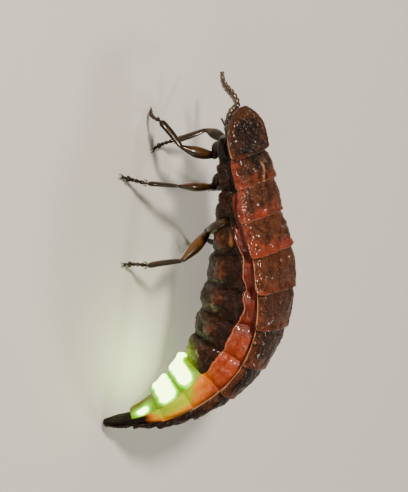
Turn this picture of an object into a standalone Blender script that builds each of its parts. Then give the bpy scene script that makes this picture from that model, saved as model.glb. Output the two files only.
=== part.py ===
"""Wingless female glow-worm, a beetle of the firefly family, as a life-size still model.

X runs from head to tail, Y to the animal's right and Z up, and the floor is Z = 0.
Sizes are in millimetres until a mesh is made. The body is laid out along its middle
line, where a place is given by its station along that line, how far it lies across to
the right, and how far it lies up towards the back.
"""

import bpy
import bmesh
import math
import numpy as np

MM = 0.001
GAP = 0.28
# Moves the animal so that its box stands centred on the origin
CENTRE = np.array((-9.208, 0.872, 0.0))

# The middle line from the front of the shield to the tip of the tail: x, y, z, and the lean
# of the back towards the animal's left in degrees
MIDLINE = (
    (0.20, -2.85, 5.27, 4.0),
    (2.72, -2.00, 5.56, 7.0),
    (4.50, -1.30, 6.03, 3.0),
    (6.25, -0.82, 6.22, -1.0),
    (8.27, -0.18, 6.52, -6.0),
    (10.45, 0.24, 6.57, -11.0),
    (12.60, 0.48, 6.42, -16.0),
    (14.70, 0.36, 5.88, -20.0),
    (16.50, -0.08, 4.96, -22.0),
    (17.85, -0.75, 3.94, -25.0),
    (18.85, -1.57, 2.80, -29.0),
    (19.60, -2.45, 1.50, -32.0),
    (20.05, -3.15, 0.12, -32.0),
)

# Stations where one part of the trunk ends and the next begins
SHIELD_ENDS = (-0.15, 2.61)
HEAD_ENDS = (0.70, 1.60)
PROTHORAX_ENDS = (1.60, 2.75)
TRUNK_NAMES = ("mesothorax", "metathorax", "abdomen_1", "abdomen_2", "abdomen_3", "abdomen_4",
               "abdomen_5", "abdomen_6", "abdomen_7", "abdomen_8")
TRUNK_STATIONS = (2.75, 4.45, 6.40, 8.50, 10.70, 12.85, 15.0, 17.05, 18.9, 20.65, 22.3)
TAIL_ENDS = (22.3, 23.7)
# How the tail narrows: share of its length, flare of its plate, swell of its flank, and size
TAIL_TAPER = (
    (0.0, 0.91, 0.90, 1.0),
    (0.25, 0.96, 0.96, 1.0),
    (0.6, 0.96, 0.98, 0.95),
    (1.0, 0.95, 0.95, 0.78),
)

# Girth of the trunk by station: half width of the back plates, height of their edge and of
# their crown, height of the belly plates' edge, and depth of the belly
GIRTH = (
    (2.7, 1.85, 0.80, 1.15, -0.20, 1.05),
    (4.5, 2.00, 0.98, 1.30, -0.10, 1.40),
    (6.4, 2.30, 1.20, 1.58, 0.00, 1.85),
    (8.5, 2.62, 1.68, 2.02, 0.40, 2.40),
    (10.7, 2.80, 2.02, 2.34, 0.60, 2.75),
    (12.9, 2.80, 2.08, 2.38, 0.50, 2.80),
    (15.0, 2.65, 1.92, 2.20, 0.25, 2.60),
    (17.0, 2.30, 1.62, 1.85, 0.00, 2.15),
    (18.9, 1.90, 1.18, 1.38, -0.15, 1.70),
    (20.6, 1.40, 0.78, 0.96, -0.20, 1.15),
    (22.3, 0.68, 0.34, 0.44, -0.10, 0.48),
    (24.1, 0.40, 0.20, 0.27, -0.04, 0.28),
)
# A segment's share of its length, with the flare of its plate and the swell of its flank there
SEGMENT_SHAPE = (
    (0.0, 0.91, 0.90),
    (0.16, 0.955, 0.955),
    (0.5, 0.985, 1.0),
    (0.84, 1.015, 0.98),
    (1.0, 1.03, 0.93),
)
# Sizes of the rings that close the front face of a segment, from the middle outwards
CAP_SIZES = (0.35, 0.7)
# Height of a back plate's side, and the most of the flank's height that it may take
PLATE_EDGE = 0.34
PLATE_EDGE_SHARE = 0.4
HIND_CORNER = 0.30

# Share of the length, half width, top and bottom of the parts under the shield
HEAD_SHAPE = (
    (0.0, 0.26, -0.16, -0.44),
    (0.18, 0.44, 0.00, -0.60),
    (0.5, 0.54, 0.12, -0.68),
    (0.85, 0.56, 0.10, -0.68),
    (1.0, 0.46, -0.02, -0.58),
)
PROTHORAX_SHAPE = (
    (0.0, 1.25, 0.25, -0.65),
    (0.15, 1.50, 0.38, -0.85),
    (0.6, 1.70, 0.42, -0.98),
    (1.0, 1.60, 0.40, -0.95),
)

SHIELD_HALF_WIDTH = 1.95
SHIELD_ARCH = 0.55
SHIELD_EDGE_UP = (0.45, 0.80)
SHIELD_DOME = 0.42
SHIELD_THICKNESS = (0.62, 0.36)

# Station and across of each leg's root, then where its trochanter, knee, ankle and foot are
LEGS = {
    "front_left": ((2.20, -0.72),
                   (3.05, -2.26, 4.09), (2.93, -4.00, 2.66), (1.62, -4.60, 1.30), (1.12, -4.05)),
    "middle_left": ((3.85, -0.80),
                    (4.91, -1.78, 4.12), (5.28, -3.60, 2.76), (5.45, -4.60, 1.17), (5.34, -5.82)),
    "hind_left": ((6.60, -1.30),
                  (7.59, -1.10, 3.91), (9.66, -3.20, 3.63), (10.29, -3.30, 1.40), (10.46, -3.89)),
    "front_right": ((2.20, 0.72),
                    (2.05, -1.35, 4.00), (1.54, -0.98, 2.36), (2.50, -2.04, 1.05), (3.23, -2.86)),
    "middle_right": ((3.85, 0.80),
                     (4.35, -0.35, 4.02), (4.80, 1.65, 3.20), (4.95, 2.65, 1.25), (4.75, 3.95)),
    "hind_right": ((6.60, 1.30),
                   (7.20, 0.85, 3.88), (8.55, 3.35, 3.50), (8.15, 3.30, 1.35), (8.95, 4.00)),
}
COXA_RADIUS = 0.42
COXA_DROP = 0.50
FEMUR_RADII = (0.24, 0.36, 0.38, 0.30, 0.22)
TIBIA_RADII = (0.22, 0.27, 0.29, 0.30, 0.22)
TARSUS_RADIUS = 0.23
TARSUS_JOINTS = 5
FOOT_HEIGHT = 0.26
CLAW_LENGTH = 0.34

LEFT_ANTENNA = ((0.44, -2.96, 4.86), (-0.12, -2.38, 5.02), (-0.80, -2.35, 4.55),
                (-1.10, -2.60, 4.26), (-1.45, -2.75, 4.02), (-1.80, -2.80, 3.92))
RIGHT_ANTENNA = ((0.42, -2.20, 4.84), (0.16, -1.80, 4.74), (-0.25, -1.58, 4.56), (-0.75, -1.35, 4.00),
                 (-1.08, -1.15, 3.45), (-1.43, -1.00, 3.04), (-1.78, -0.90, 2.84))
ANTENNA_RADIUS = 0.25
ANTENNA_SEGMENTS = 11


def smooth_table(rows):
    """Returns a function that runs smoothly through rows of (position, values...)."""
    table = np.array(rows, float)
    knots = table[:, 0]
    values = table[:, 1:]
    slopes = np.gradient(values, knots, axis=0)

    def read(position):
        position = min(max(position, knots[0]), knots[-1])
        i = min(np.searchsorted(knots, position, side="right") - 1, len(knots) - 2)
        span = knots[i + 1] - knots[i]
        t = (position - knots[i]) / span
        start = (1 + 2 * t) * (1 - t) ** 2 * values[i] + t * (1 - t) ** 2 * span * slopes[i]
        end = t * t * (3 - 2 * t) * values[i + 1] + t * t * (t - 1) * span * slopes[i + 1]
        return start + end

    return read


def station_rows(points):
    """Puts each point's distance along the chain of points before its values."""
    points = np.array(points, float)
    steps = np.linalg.norm(np.diff(points[:, :3], axis=0), axis=1)
    return np.column_stack((np.concatenate(([0.0], np.cumsum(steps))), points))


midline = smooth_table(station_rows(MIDLINE))
MIDLINE_LENGTH = station_rows(MIDLINE)[-1][0]
girth = smooth_table(GIRTH)


def unit(vector):
    return vector / np.linalg.norm(vector)


def body_frame(station):
    """Returns the middle line's point and its directions to the tail, right and back."""
    inside = min(max(station, 0.0), MIDLINE_LENGTH)
    step = 0.05
    here = midline(inside)
    tail = unit(midline(inside + step)[:3] - midline(inside - step)[:3])
    point = here[:3] + tail * (station - inside)
    level_right = unit(np.array((0.0, 1.0, 0.0)) - tail[1] * tail)
    level_up = np.cross(tail, level_right)
    lean = math.radians(here[3])
    up = level_up * math.cos(lean) - level_right * math.sin(lean)
    right = level_right * math.cos(lean) + level_up * math.sin(lean)
    return point, tail, right, up


def place(station, across, up):
    point, _, right, back = body_frame(station)
    return point + across * right + up * back


def loft(rings, front_caps=(), rear_caps=()):
    """Closed mesh through rings of equal count, with inner cap rings and a point at each end."""
    rings = [*front_caps, *rings, *rear_caps]
    count = len(rings[0])
    points = [rings[0].mean(axis=0), *np.concatenate(rings), rings[-1].mean(axis=0)]
    faces = [(0, 1 + (k + 1) % count, 1 + k) for k in range(count)]
    for j in range(len(rings) - 1):
        low = 1 + j * count
        high = low + count
        for k in range(count):
            n = (k + 1) % count
            faces.append((low + k, low + n, high + n))
            faces.append((low + k, high + n, high + k))
    last = 1 + (len(rings) - 1) * count
    faces += [(len(points) - 1, last + k, last + (k + 1) % count) for k in range(count)]
    return np.array(points), faces


def shell_mesh(name, points, faces):
    """Makes a mesh in metres, facing outwards."""
    mesh = bpy.data.meshes.new(name)
    mesh.from_pydata([tuple(v) for v in (points + CENTRE) * MM], [], faces)
    work = bmesh.new()
    work.from_mesh(mesh)
    bmesh.ops.recalc_face_normals(work, faces=work.faces)
    work.to_mesh(mesh)
    work.free()
    mesh.shade_smooth()
    mesh.set_sharp_from_angle(angle=math.radians(50))
    return mesh


def part_object(name, mesh, material):
    part = bpy.data.objects.new(name, mesh)
    bpy.context.scene.collection.objects.link(part)
    mesh.materials.clear()
    mesh.materials.append(material)
    return part


def fused_object(name, pieces, material):
    """One closed body from several closed pieces that run into each other."""
    shapes = [shell_mesh(f"{name}_piece", points, faces) for points, faces in pieces]
    part = part_object(name, shapes[0], material)
    others = bpy.data.collections.new(f"{name}_pieces")
    for shape in shapes[1:]:
        others.objects.link(bpy.data.objects.new(shape.name, shape))
    union = part.modifiers.new("Union", "BOOLEAN")
    union.operation = "UNION"
    union.operand_type = "COLLECTION"
    union.solver = "EXACT"
    union.collection = others
    bpy.context.view_layer.update()
    evaluated = part.evaluated_get(bpy.context.evaluated_depsgraph_get())
    joined = bpy.data.meshes.new_from_object(evaluated)
    part.modifiers.clear()
    for other in list(others.objects):
        bpy.data.objects.remove(other)
    bpy.data.collections.remove(others)
    part.data = largest_shell(joined)
    part.data.name = name
    return part


def largest_shell(mesh):
    """Keeps the surface that holds the most faces."""
    work = bmesh.new()
    work.from_mesh(mesh)
    bmesh.ops.triangulate(work, faces=work.faces)
    unseen = set(work.faces)
    shells = []
    while unseen:
        shell = {unseen.pop()}
        edge_of_search = list(shell)
        while edge_of_search:
            face = edge_of_search.pop()
            for edge in face.edges:
                for other in edge.link_faces:
                    if other in unseen:
                        unseen.discard(other)
                        shell.add(other)
                        edge_of_search.append(other)
        shells.append(shell)
    kept = max(shells, key=lambda shell: sum(face.calc_area() for face in shell))
    bmesh.ops.delete(work, geom=[face for face in work.faces if face not in kept], context="FACES")
    work.to_mesh(mesh)
    work.free()
    return mesh


def finish(name, colour, roughness):
    material = bpy.data.materials.new(name)
    material.use_nodes = True
    shader = material.node_tree.nodes["Principled BSDF"]
    shader.inputs["Base Color"].default_value = (*colour, 1.0)
    shader.inputs["Roughness"].default_value = roughness
    shader.inputs["Metallic"].default_value = 0.0
    return material


def plate_side(edge, belly_edge):
    return min(PLATE_EDGE, PLATE_EDGE_SHARE * (edge - belly_edge))


def half_section(station, flare, swell):
    """Right half of the trunk's outline from the crown to the keel, as (across, up)."""
    half_width, edge, crown, belly_edge, belly = girth(station)
    plate = half_width * flare
    flank = half_width * swell
    points = []
    for share in (0.0, 0.34, 0.64, 0.87, 1.0):
        points.append((plate * share, edge + (crown - edge) * (1 - share ** 2.4)))
    fold = edge - (edge - belly_edge) * 0.55
    side_foot = edge - plate_side(edge, belly_edge)
    points.append((plate * 0.985, side_foot))
    points.append((flank * 0.88, fold + (side_foot - fold) * 0.55))
    points.append((flank * 0.90, fold - (fold - belly_edge) * 0.5))
    points.append((flank * 0.97, belly_edge - 0.08 * belly))
    for angle in (22.0, 44.0, 64.0, 80.0, 90.0):
        turn = math.radians(angle)
        points.append((flank * 0.97 * math.cos(turn) ** 0.9,
                       belly_edge - 0.08 * belly - (belly + belly_edge - 0.08 * belly) * math.sin(turn)))
    return points


def hind_corner(across, half_width):
    """How far the margin of a back plate is drawn towards the tail at a place across."""
    side = max(0.0, abs(across) / half_width - 0.55) / 0.45
    return HIND_CORNER * min(side, 1.15) ** 1.6


def trunk_ring(station, flare, swell, size=1.0):
    """Ring of points round the trunk, drawn back at the corners of its plates."""
    half_width, edge, _, belly_edge, belly = girth(station)
    right = half_section(station, flare, swell)
    left = [(-across, up) for across, up in reversed(right[1:-1])]
    middle = (edge - belly) / 2
    ring = []
    for across, up in right + left:
        across *= size
        up = middle + (up - middle) * size
        height = min(max((up - belly_edge) / (edge - plate_side(edge, belly_edge) - belly_edge), 0.0), 1.0)
        ring.append(place(station + hind_corner(across, half_width) * height, across, up))
    return np.array(ring)


def trunk_segment(start, end):
    """Closed segment whose plates flare towards the rear over the next one's narrower front."""
    front = start + GAP / 2
    rear = end - GAP / 2
    rings = [trunk_ring(front + (rear - front) * share, flare, swell)
             for share, flare, swell in SEGMENT_SHAPE]
    front_cap = [trunk_ring(front, *SEGMENT_SHAPE[0][1:], size) for size in CAP_SIZES]
    rear_cap = [trunk_ring(rear, *SEGMENT_SHAPE[-1][1:], size) for size in reversed(CAP_SIZES)]
    return loft(rings, front_cap, rear_cap)


def tail_tip(start, end):
    """Slender last segment that bends down and stands on a small flat at the floor."""
    front = start + GAP / 2
    rings = [trunk_ring(front + (end - front) * share, flare, swell, size)
             for share, flare, swell, size in TAIL_TAPER]
    front_cap = [trunk_ring(front, *TAIL_TAPER[0][1:3], size) for size in CAP_SIZES]
    tip = place(MIDLINE_LENGTH, 0.0, 0.0)
    sole = tip + (rings[-1] - rings[-1].mean(axis=0)) * 0.55
    sole[:, 2] = 0.0
    return loft([*rings, sole], front_cap)


def shield():
    """Pronotum: a domed plate with an arched front, straight hind margin and hind corners."""
    front, rear = SHIELD_ENDS
    rear_width = girth(TRUNK_STATIONS[0])[0]
    rings = []
    for share in (0.03, 0.12, 0.28, 0.5, 0.75, 0.93, 1.0):
        arch = math.sin(min(share / SHIELD_ARCH, 1.0) * math.pi / 2) ** 0.6
        half = SHIELD_HALF_WIDTH * arch * (0.95 + 0.05 * share)
        edge = SHIELD_EDGE_UP[0] + (SHIELD_EDGE_UP[1] - SHIELD_EDGE_UP[0]) * share
        dome = SHIELD_DOME * min(1.0, 0.35 + share)
        middle_thick, edge_thick = SHIELD_THICKNESS
        ring = []
        for side in (-1.0, -0.86, -0.6, -0.3, 0.0, 0.3, 0.6, 0.86, 1.0):
            corner = hind_corner(half * side, rear_width) * share
            ring.append(place(front + (rear - front) * share + corner, half * side,
                              edge + dome * (1 - abs(side) ** 2.2)))
        for side in (1.0, 0.7, 0.35, 0.0, -0.35, -0.7, -1.0):
            corner = hind_corner(half * side, rear_width) * share
            thick = edge_thick + (middle_thick - edge_thick) * (1 - abs(side) ** 2)
            ring.append(place(front + (rear - front) * share + corner, half * side,
                              edge + dome * (1 - abs(side) ** 2.2) - thick))
        rings.append(np.array(ring))
    return loft(rings)


def oval_ring(station, half_width, top, bottom, count):
    """Oval ring across the body whose sides are a little flattened."""
    ring = []
    for k in range(count):
        turn = 2 * math.pi * k / count
        across = half_width * math.copysign(abs(math.sin(turn)) ** 0.8, math.sin(turn))
        height = (top + bottom) / 2 + (top - bottom) / 2 * math.cos(turn)
        ring.append(place(station, across, height))
    return np.array(ring)


def prothorax():
    start, end = PROTHORAX_ENDS
    return loft([oval_ring(start + (end - start - GAP / 2) * share, half, top, bottom, 14)
                 for share, half, top, bottom in PROTHORAX_SHAPE])


def head():
    """Head capsule, flattened at the sides where the eyes sit, with jaws and palps in front."""
    start, end = HEAD_ENDS
    pieces = [loft([oval_ring(start + (end - GAP - start) * share, half, top, bottom, 12)
                    for share, half, top, bottom in HEAD_SHAPE])]
    for side in (-1.0, 1.0):
        jaw = [place(start + 0.30, 0.22 * side, -0.44), place(start - 0.05, 0.24 * side, -0.54),
               place(start - 0.30, 0.04 * side, -0.60)]
        pieces.append(tube(jaw, (0.14, 0.12, 0.05), 6))
        palp = [place(start + 0.35, 0.30 * side, -0.54), place(start + 0.05, 0.36 * side, -0.74),
                place(start - 0.18, 0.32 * side, -0.88)]
        pieces.append(tube(palp, (0.12, 0.12, 0.08), 6))
    return pieces


def tube(path, radii, sides, flatten=1.0):
    """Tube through a path with a rounded tip at each end; flatten narrows it sideways."""
    path = [np.array(point, float) for point in path]
    rings = []
    reference = np.array((0.0, 0.0, 1.0))
    for i, radius in enumerate(radii):
        before = path[max(i - 1, 0)]
        after = path[min(i + 1, len(path) - 1)]
        heading = unit(after - before)
        if abs(heading @ reference) > 0.97:
            reference = np.array((1.0, 0.0, 0.0))
        wide = unit(np.cross(heading, reference))
        high = np.cross(wide, heading)
        reference = high
        turns = [2 * math.pi * k / sides for k in range(sides)]
        rings.append(np.array([path[i] + radius * (flatten * math.cos(turn) * wide + math.sin(turn) * high)
                               for turn in turns]))
    points, faces = loft(rings)
    points[0] = path[0] - unit(path[1] - path[0]) * radii[0] * 0.5
    points[-1] = path[-1] + unit(path[-1] - path[-2]) * radii[-1] * 0.5
    return points, faces


def along(start, end, shares, bow=(0.0, 0.0, 0.0)):
    """Points at shares of the way from start to end, bowed out in the middle."""
    start = np.array(start, float)
    end = np.array(end, float)
    return [start + (end - start) * share + np.array(bow) * 4 * share * (1 - share) for share in shares]


def belly_height(station, across):
    """Height of the trunk's belly at a place across, from the same outline as its rings."""
    if station < PROTHORAX_ENDS[1]:
        _, half, top, bottom = PROTHORAX_SHAPE[2]
        turn = math.asin(min((abs(across) / half) ** 1.25, 1.0))
        return (top + bottom) / 2 - (top - bottom) / 2 * math.cos(turn)
    lower = half_section(station, 0.985, 1.0)[8:]
    outs = [point[0] for point in reversed(lower)]
    ups = [point[1] for point in reversed(lower)]
    return float(np.interp(abs(across), outs, ups))


def coxa(root):
    """Hip whose face follows the belly, a gap below it, and the point where it ends."""
    station, across = root
    sides = 10
    face = []
    for k in range(sides):
        turn = 2 * math.pi * k / sides
        at = station + COXA_RADIUS * math.cos(turn)
        out = across + COXA_RADIUS * math.sin(turn)
        face.append(place(at, out, belly_height(at, out) - GAP))
    face = np.array(face)
    centre = place(station, across, belly_height(station, across) - GAP)
    drop = -body_frame(station)[3] * COXA_DROP
    rings = [centre + (face - centre) * 0.5, face]
    for share, size in ((0.5, 1.0), (0.85, 0.8), (1.0, 0.45)):
        rings.append(centre + drop * share + (face - centre) * size)
    points, faces = loft(rings)
    points[0] = centre
    return (points, faces), centre + drop * 0.55


def claws(foot, toe, across_foot):
    """Two small curved claws that reach forward from the last joint of the foot."""
    pieces = []
    for side in (-1.0, 1.0):
        out = across_foot * side
        path = [foot + out * 0.06, foot + toe * CLAW_LENGTH * 0.6 + out * 0.15 + np.array((0, 0, 0.04)),
                foot + toe * CLAW_LENGTH + out * 0.18 - np.array((0, 0, 0.12))]
        pieces.append(tube(path, (0.11, 0.09, 0.045), 5))
    return pieces


def foot_pad(claw):
    """Small round pad that ends the foot, with the flat that it stands on."""
    rings = []
    turns = [2 * math.pi * k / 9 for k in range(9)]
    for radius, height in ((0.15, 0.0), (0.20, 0.07), (0.20, 0.22), (0.11, 0.33)):
        rings.append(np.array([claw + np.array((radius * math.cos(turn), radius * math.sin(turn), height))
                               for turn in turns]))
    return loft(rings)


def leg(root, trochanter, knee, ankle, stand):
    """One leg: coxa, trochanter and femur, tibia, five joints of the tarsus and the claws."""
    trochanter, knee, ankle = (np.array(point, float) for point in (trochanter, knee, ankle))
    claw = np.array((*stand, 0.0))
    hip, hip_point = coxa(root)
    pieces = [hip, tube(along(hip_point, trochanter, (0.0, 0.4, 1.1)), (0.24, 0.28, 0.25), 8)]
    pieces.append(tube(along(trochanter, knee, (-0.06, 0.2, 0.5, 0.8, 1.0)), FEMUR_RADII, 8))
    pieces.append(tube(along(knee, ankle, (-0.06, 0.15, 0.5, 0.85, 1.0)), TIBIA_RADII, 8, 0.95))
    foot = claw + np.array((0.0, 0.0, FOOT_HEIGHT))
    toe = unit((claw - ankle) * (1.0, 1.0, 0.0))
    sag = -toe * 0.10 + np.array((0.0, 0.0, -0.05))
    stops = along(ankle, foot, [k / TARSUS_JOINTS for k in range(TARSUS_JOINTS + 1)], sag)
    for k in range(TARSUS_JOINTS):
        size = TARSUS_RADIUS * (1.12 if k == 3 else 1.0 - 0.03 * k)
        path = along(stops[k], stops[k + 1], (-0.12, 0.5, 0.98))
        pieces.append(tube(path, (size * 0.82, size * 0.95, size * 1.04), 7))
    pieces.append(foot_pad(claw))
    pieces += claws(foot, toe, np.cross(toe, np.array((0.0, 0.0, 1.0))))
    return pieces


def antenna(path):
    """Feeler of short barrel joints, each a little wider towards its end."""
    read = smooth_table(station_rows(path))
    length = station_rows(path)[-1][0]
    points = []
    radii = []
    for k in range(ANTENNA_SEGMENTS):
        taper = 1.0 - 0.28 * k / (ANTENNA_SEGMENTS - 1)
        for share, size in ((0.08, 0.84), (0.78, 1.08)):
            points.append(read(length * (k + share) / ANTENNA_SEGMENTS))
            radii.append(ANTENNA_RADIUS * size * taper)
    return tube(points, radii, 7)


def eye(side):
    """Low dome on the flattened side of the head."""
    station = HEAD_ENDS[0] + 0.38
    base = 0.57 + GAP
    rings = []
    for out, radius in ((0.0, 0.25), (0.09, 0.24), (0.17, 0.18), (0.22, 0.09)):
        turns = [2 * math.pi * k / 10 for k in range(10)]
        rings.append(np.array([place(station + radius * math.cos(turn), side * (base + out),
                                     -0.24 + radius * math.sin(turn)) for turn in turns]))
    return loft(rings)


for old in list(bpy.data.objects):
    bpy.data.objects.remove(old)

dark_plate = finish("dark_plate", (0.045, 0.028, 0.020), 0.45)
rosy_plate = finish("rosy_plate", (0.16, 0.060, 0.035), 0.45)
soft_side = finish("soft_side", (0.55, 0.16, 0.09), 0.40)
lantern = finish("lantern", (0.62, 0.80, 0.30), 0.40)
leg_horn = finish("leg_horn", (0.10, 0.075, 0.035), 0.35)
feeler_horn = finish("feeler_horn", (0.24, 0.17, 0.08), 0.35)
eye_black = finish("eye_black", (0.012, 0.010, 0.010), 0.15)

part_object("pronotum", shell_mesh("pronotum", *shield()), dark_plate)
part_object("prothorax", shell_mesh("prothorax", *prothorax()), soft_side)
fused_object("head", head(), dark_plate)
TRUNK_FINISH = {"metathorax": rosy_plate, "abdomen_1": rosy_plate, "abdomen_6": lantern, "abdomen_7": lantern}
for trunk_name, trunk_start, trunk_end in zip(TRUNK_NAMES, TRUNK_STATIONS, TRUNK_STATIONS[1:]):
    part_object(trunk_name, shell_mesh(trunk_name, *trunk_segment(trunk_start, trunk_end)),
                TRUNK_FINISH.get(trunk_name, dark_plate))
part_object("tail", shell_mesh("tail", *tail_tip(*TAIL_ENDS)), dark_plate)
for leg_name, leg_places in LEGS.items():
    fused_object(f"leg_{leg_name}", leg(*leg_places), leg_horn)
for side_name, side_sign, feeler in (("left", -1.0, LEFT_ANTENNA), ("right", 1.0, RIGHT_ANTENNA)):
    part_object(f"eye_{side_name}", shell_mesh(f"eye_{side_name}", *eye(side_sign)), eye_black)
    part_object(f"antenna_{side_name}", shell_mesh(f"antenna_{side_name}", *antenna(feeler)), feeler_horn)
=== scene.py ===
import math

import bmesh
import bpy
import numpy as np
from mathutils import Matrix


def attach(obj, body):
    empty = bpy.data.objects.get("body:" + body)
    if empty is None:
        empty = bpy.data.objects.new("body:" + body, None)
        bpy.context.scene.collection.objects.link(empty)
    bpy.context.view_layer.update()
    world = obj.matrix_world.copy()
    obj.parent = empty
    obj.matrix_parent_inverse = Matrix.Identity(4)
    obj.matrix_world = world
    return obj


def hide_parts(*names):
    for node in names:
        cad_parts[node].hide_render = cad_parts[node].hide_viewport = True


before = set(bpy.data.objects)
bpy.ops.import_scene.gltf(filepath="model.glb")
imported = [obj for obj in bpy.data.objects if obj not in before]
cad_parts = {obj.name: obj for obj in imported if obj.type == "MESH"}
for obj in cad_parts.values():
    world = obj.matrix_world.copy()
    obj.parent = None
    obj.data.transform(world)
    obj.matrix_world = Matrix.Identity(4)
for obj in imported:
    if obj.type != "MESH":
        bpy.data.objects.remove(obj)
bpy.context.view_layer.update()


# Board, lamps and camera
# The model stands on a sheet of pale matt board. Round soft lamps light it, and the camera
# looks from its left side and above, turned so that the head is up in the picture.
MM = 0.001
WATCHED = np.array((-0.668, -0.308, 3.8))
CAMERA_RISE = math.radians(30)
CAMERA_ROLL = math.radians(10)
CAMERA_REACH = 140.0
CAMERA_SIGHT = (0.005, 5.0)
PICTURE_HEIGHT = 29.8
SENSOR = 36.0
# Name, direction from the model, distance and size in mm, power and colour
LAMPS = (
    ("lamp_key", (-0.75, -1.0, 1.15), 260.0, 40.0, 0.86, (1.0, 0.88, 0.73)),
    ("lamp_top", (-0.17, 0.11, 1.0), 280.0, 34.0, 0.16, (1.0, 0.90, 0.77)),
    ("lamp_fill", (0.9, -0.9, 0.7), 320.0, 150.0, 0.20, (1.0, 0.90, 0.79)),
    ("lamp_back", (0.3, 1.0, 0.9), 300.0, 60.0, 0.28, (1.0, 0.92, 0.83)),
)
ROOM_TINT = (0.88, 0.86, 0.83, 1.0)
ROOM_LIGHT = 0.15
BOARD_REACH = 1.5
BOARD_GREY = (0.70, 0.68, 0.645)
BOARD_PALE = (0.74, 0.72, 0.69)

ahead = np.array((-1.0, 0.0, 0.0))
over = np.array((0.0, math.sin(CAMERA_RISE), math.cos(CAMERA_RISE)))
toward_camera = np.array((0.0, -math.cos(CAMERA_RISE), math.sin(CAMERA_RISE)))
picture_right = math.sin(CAMERA_ROLL) * ahead + math.cos(CAMERA_ROLL) * over
picture_up = math.cos(CAMERA_ROLL) * ahead - math.sin(CAMERA_ROLL) * over


def aimed(data, place, right, up, back):
    """Stands a camera or a lamp at a place in mm, turned by its three directions."""
    thing = bpy.data.objects.new(data.name, data)
    bpy.context.scene.collection.objects.link(thing)
    turn = np.eye(4)
    turn[:3, 0] = right
    turn[:3, 1] = up
    turn[:3, 2] = back
    turn[:3, 3] = np.array(place) * MM
    thing.matrix_world = Matrix(turn.tolist())
    return thing


camera_data = bpy.data.cameras.new("camera")
camera_data.sensor_width = SENSOR
camera_data.lens = SENSOR * CAMERA_REACH / PICTURE_HEIGHT
camera_data.clip_start, camera_data.clip_end = CAMERA_SIGHT
bpy.context.scene.camera = aimed(camera_data, WATCHED + toward_camera * CAMERA_REACH,
                                 picture_right, picture_up, toward_camera)


def unit(vector):
    return vector / np.linalg.norm(vector, axis=-1, keepdims=True)


def soft_lamp(name, direction, distance, size, power, colour):
    """Round lamp that looks at the model from a direction."""
    lamp = bpy.data.lights.new(name, "AREA")
    lamp.shape = "DISK"
    lamp.size = size * MM
    lamp.energy = power
    lamp.color = colour
    back = unit(np.array(direction, float))
    right = unit(np.cross((0.0, 0.0, 1.0), back))
    aimed(lamp, WATCHED + back * distance, right, np.cross(back, right), back)


for row in LAMPS:
    soft_lamp(*row)
world = bpy.data.worlds.new("room")
world.use_nodes = True
world.node_tree.nodes["Background"].inputs["Color"].default_value = ROOM_TINT
world.node_tree.nodes["Background"].inputs["Strength"].default_value = ROOM_LIGHT
bpy.context.scene.world = world


class Wire:
    """One value inside a node tree, so that a finish is written as sums."""

    def __init__(self, tree, socket):
        self.tree = tree
        self.socket = socket

    def add(self, kind, settings=None, sockets=None, out=None):
        """Adds a node: its settings first, then a value or a wire for each socket."""
        node = self.tree.nodes.new(kind)
        for key, value in (settings or {}).items():
            setattr(node, key, value)
        for key, value in (sockets or {}).items():
            if isinstance(key, int):
                socket = node.inputs[key]
            else:
                socket = next(one for one in node.inputs if one.enabled and one.name == key)
            if isinstance(value, Wire):
                self.tree.links.new(value.socket, socket)
            elif socket.type == "RGBA" and len(value) == 3:
                socket.default_value = (*value, 1.0)
            else:
                socket.default_value = value
        return Wire(self.tree, next(one for one in node.outputs if one.enabled and out in (None, one.name)))

    def maths(self, operation, *values):
        return self.add("ShaderNodeMath", {"operation": operation}, dict(enumerate(values)))

    def __add__(self, other):
        return self.maths("ADD", self, other)

    def __radd__(self, other):
        return self.maths("ADD", other, self)

    def __sub__(self, other):
        return self.maths("SUBTRACT", self, other)

    def __rsub__(self, other):
        return self.maths("SUBTRACT", other, self)

    def __mul__(self, other):
        return self.maths("MULTIPLY", self, other)

    def __rmul__(self, other):
        return self.maths("MULTIPLY", other, self)

    def ramp(self, low, high):
        """Runs smoothly from 0 to 1 while this value runs from low to high."""
        return self.add("ShaderNodeMapRange", {"interpolation_type": "SMOOTHSTEP"},
                        {"Value": self, "From Min": low, "From Max": high}, "Result")

    def tint(self, low, high):
        """Colour that runs from low to high while this value runs from 0 to 1."""
        return self.add("ShaderNodeMix", {"data_type": "RGBA"}, {"Factor": self, "A": low, "B": high},
                        "Result")

    def noise(self, scale, detail=2.0, roughness=0.5):
        return self.add("ShaderNodeTexNoise", {}, {"Vector": self, "Scale": scale, "Detail": detail,
                                                   "Roughness": roughness}, "Fac")

    def cells(self, scale, randomness=1.0):
        return self.add("ShaderNodeTexVoronoi", {}, {"Vector": self, "Scale": scale,
                                                     "Randomness": randomness}, "Distance")

    def bump(self, strength, distance):
        return self.add("ShaderNodeBump", {}, {"Height": self, "Strength": strength,
                                               "Distance": distance * MM})


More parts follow.
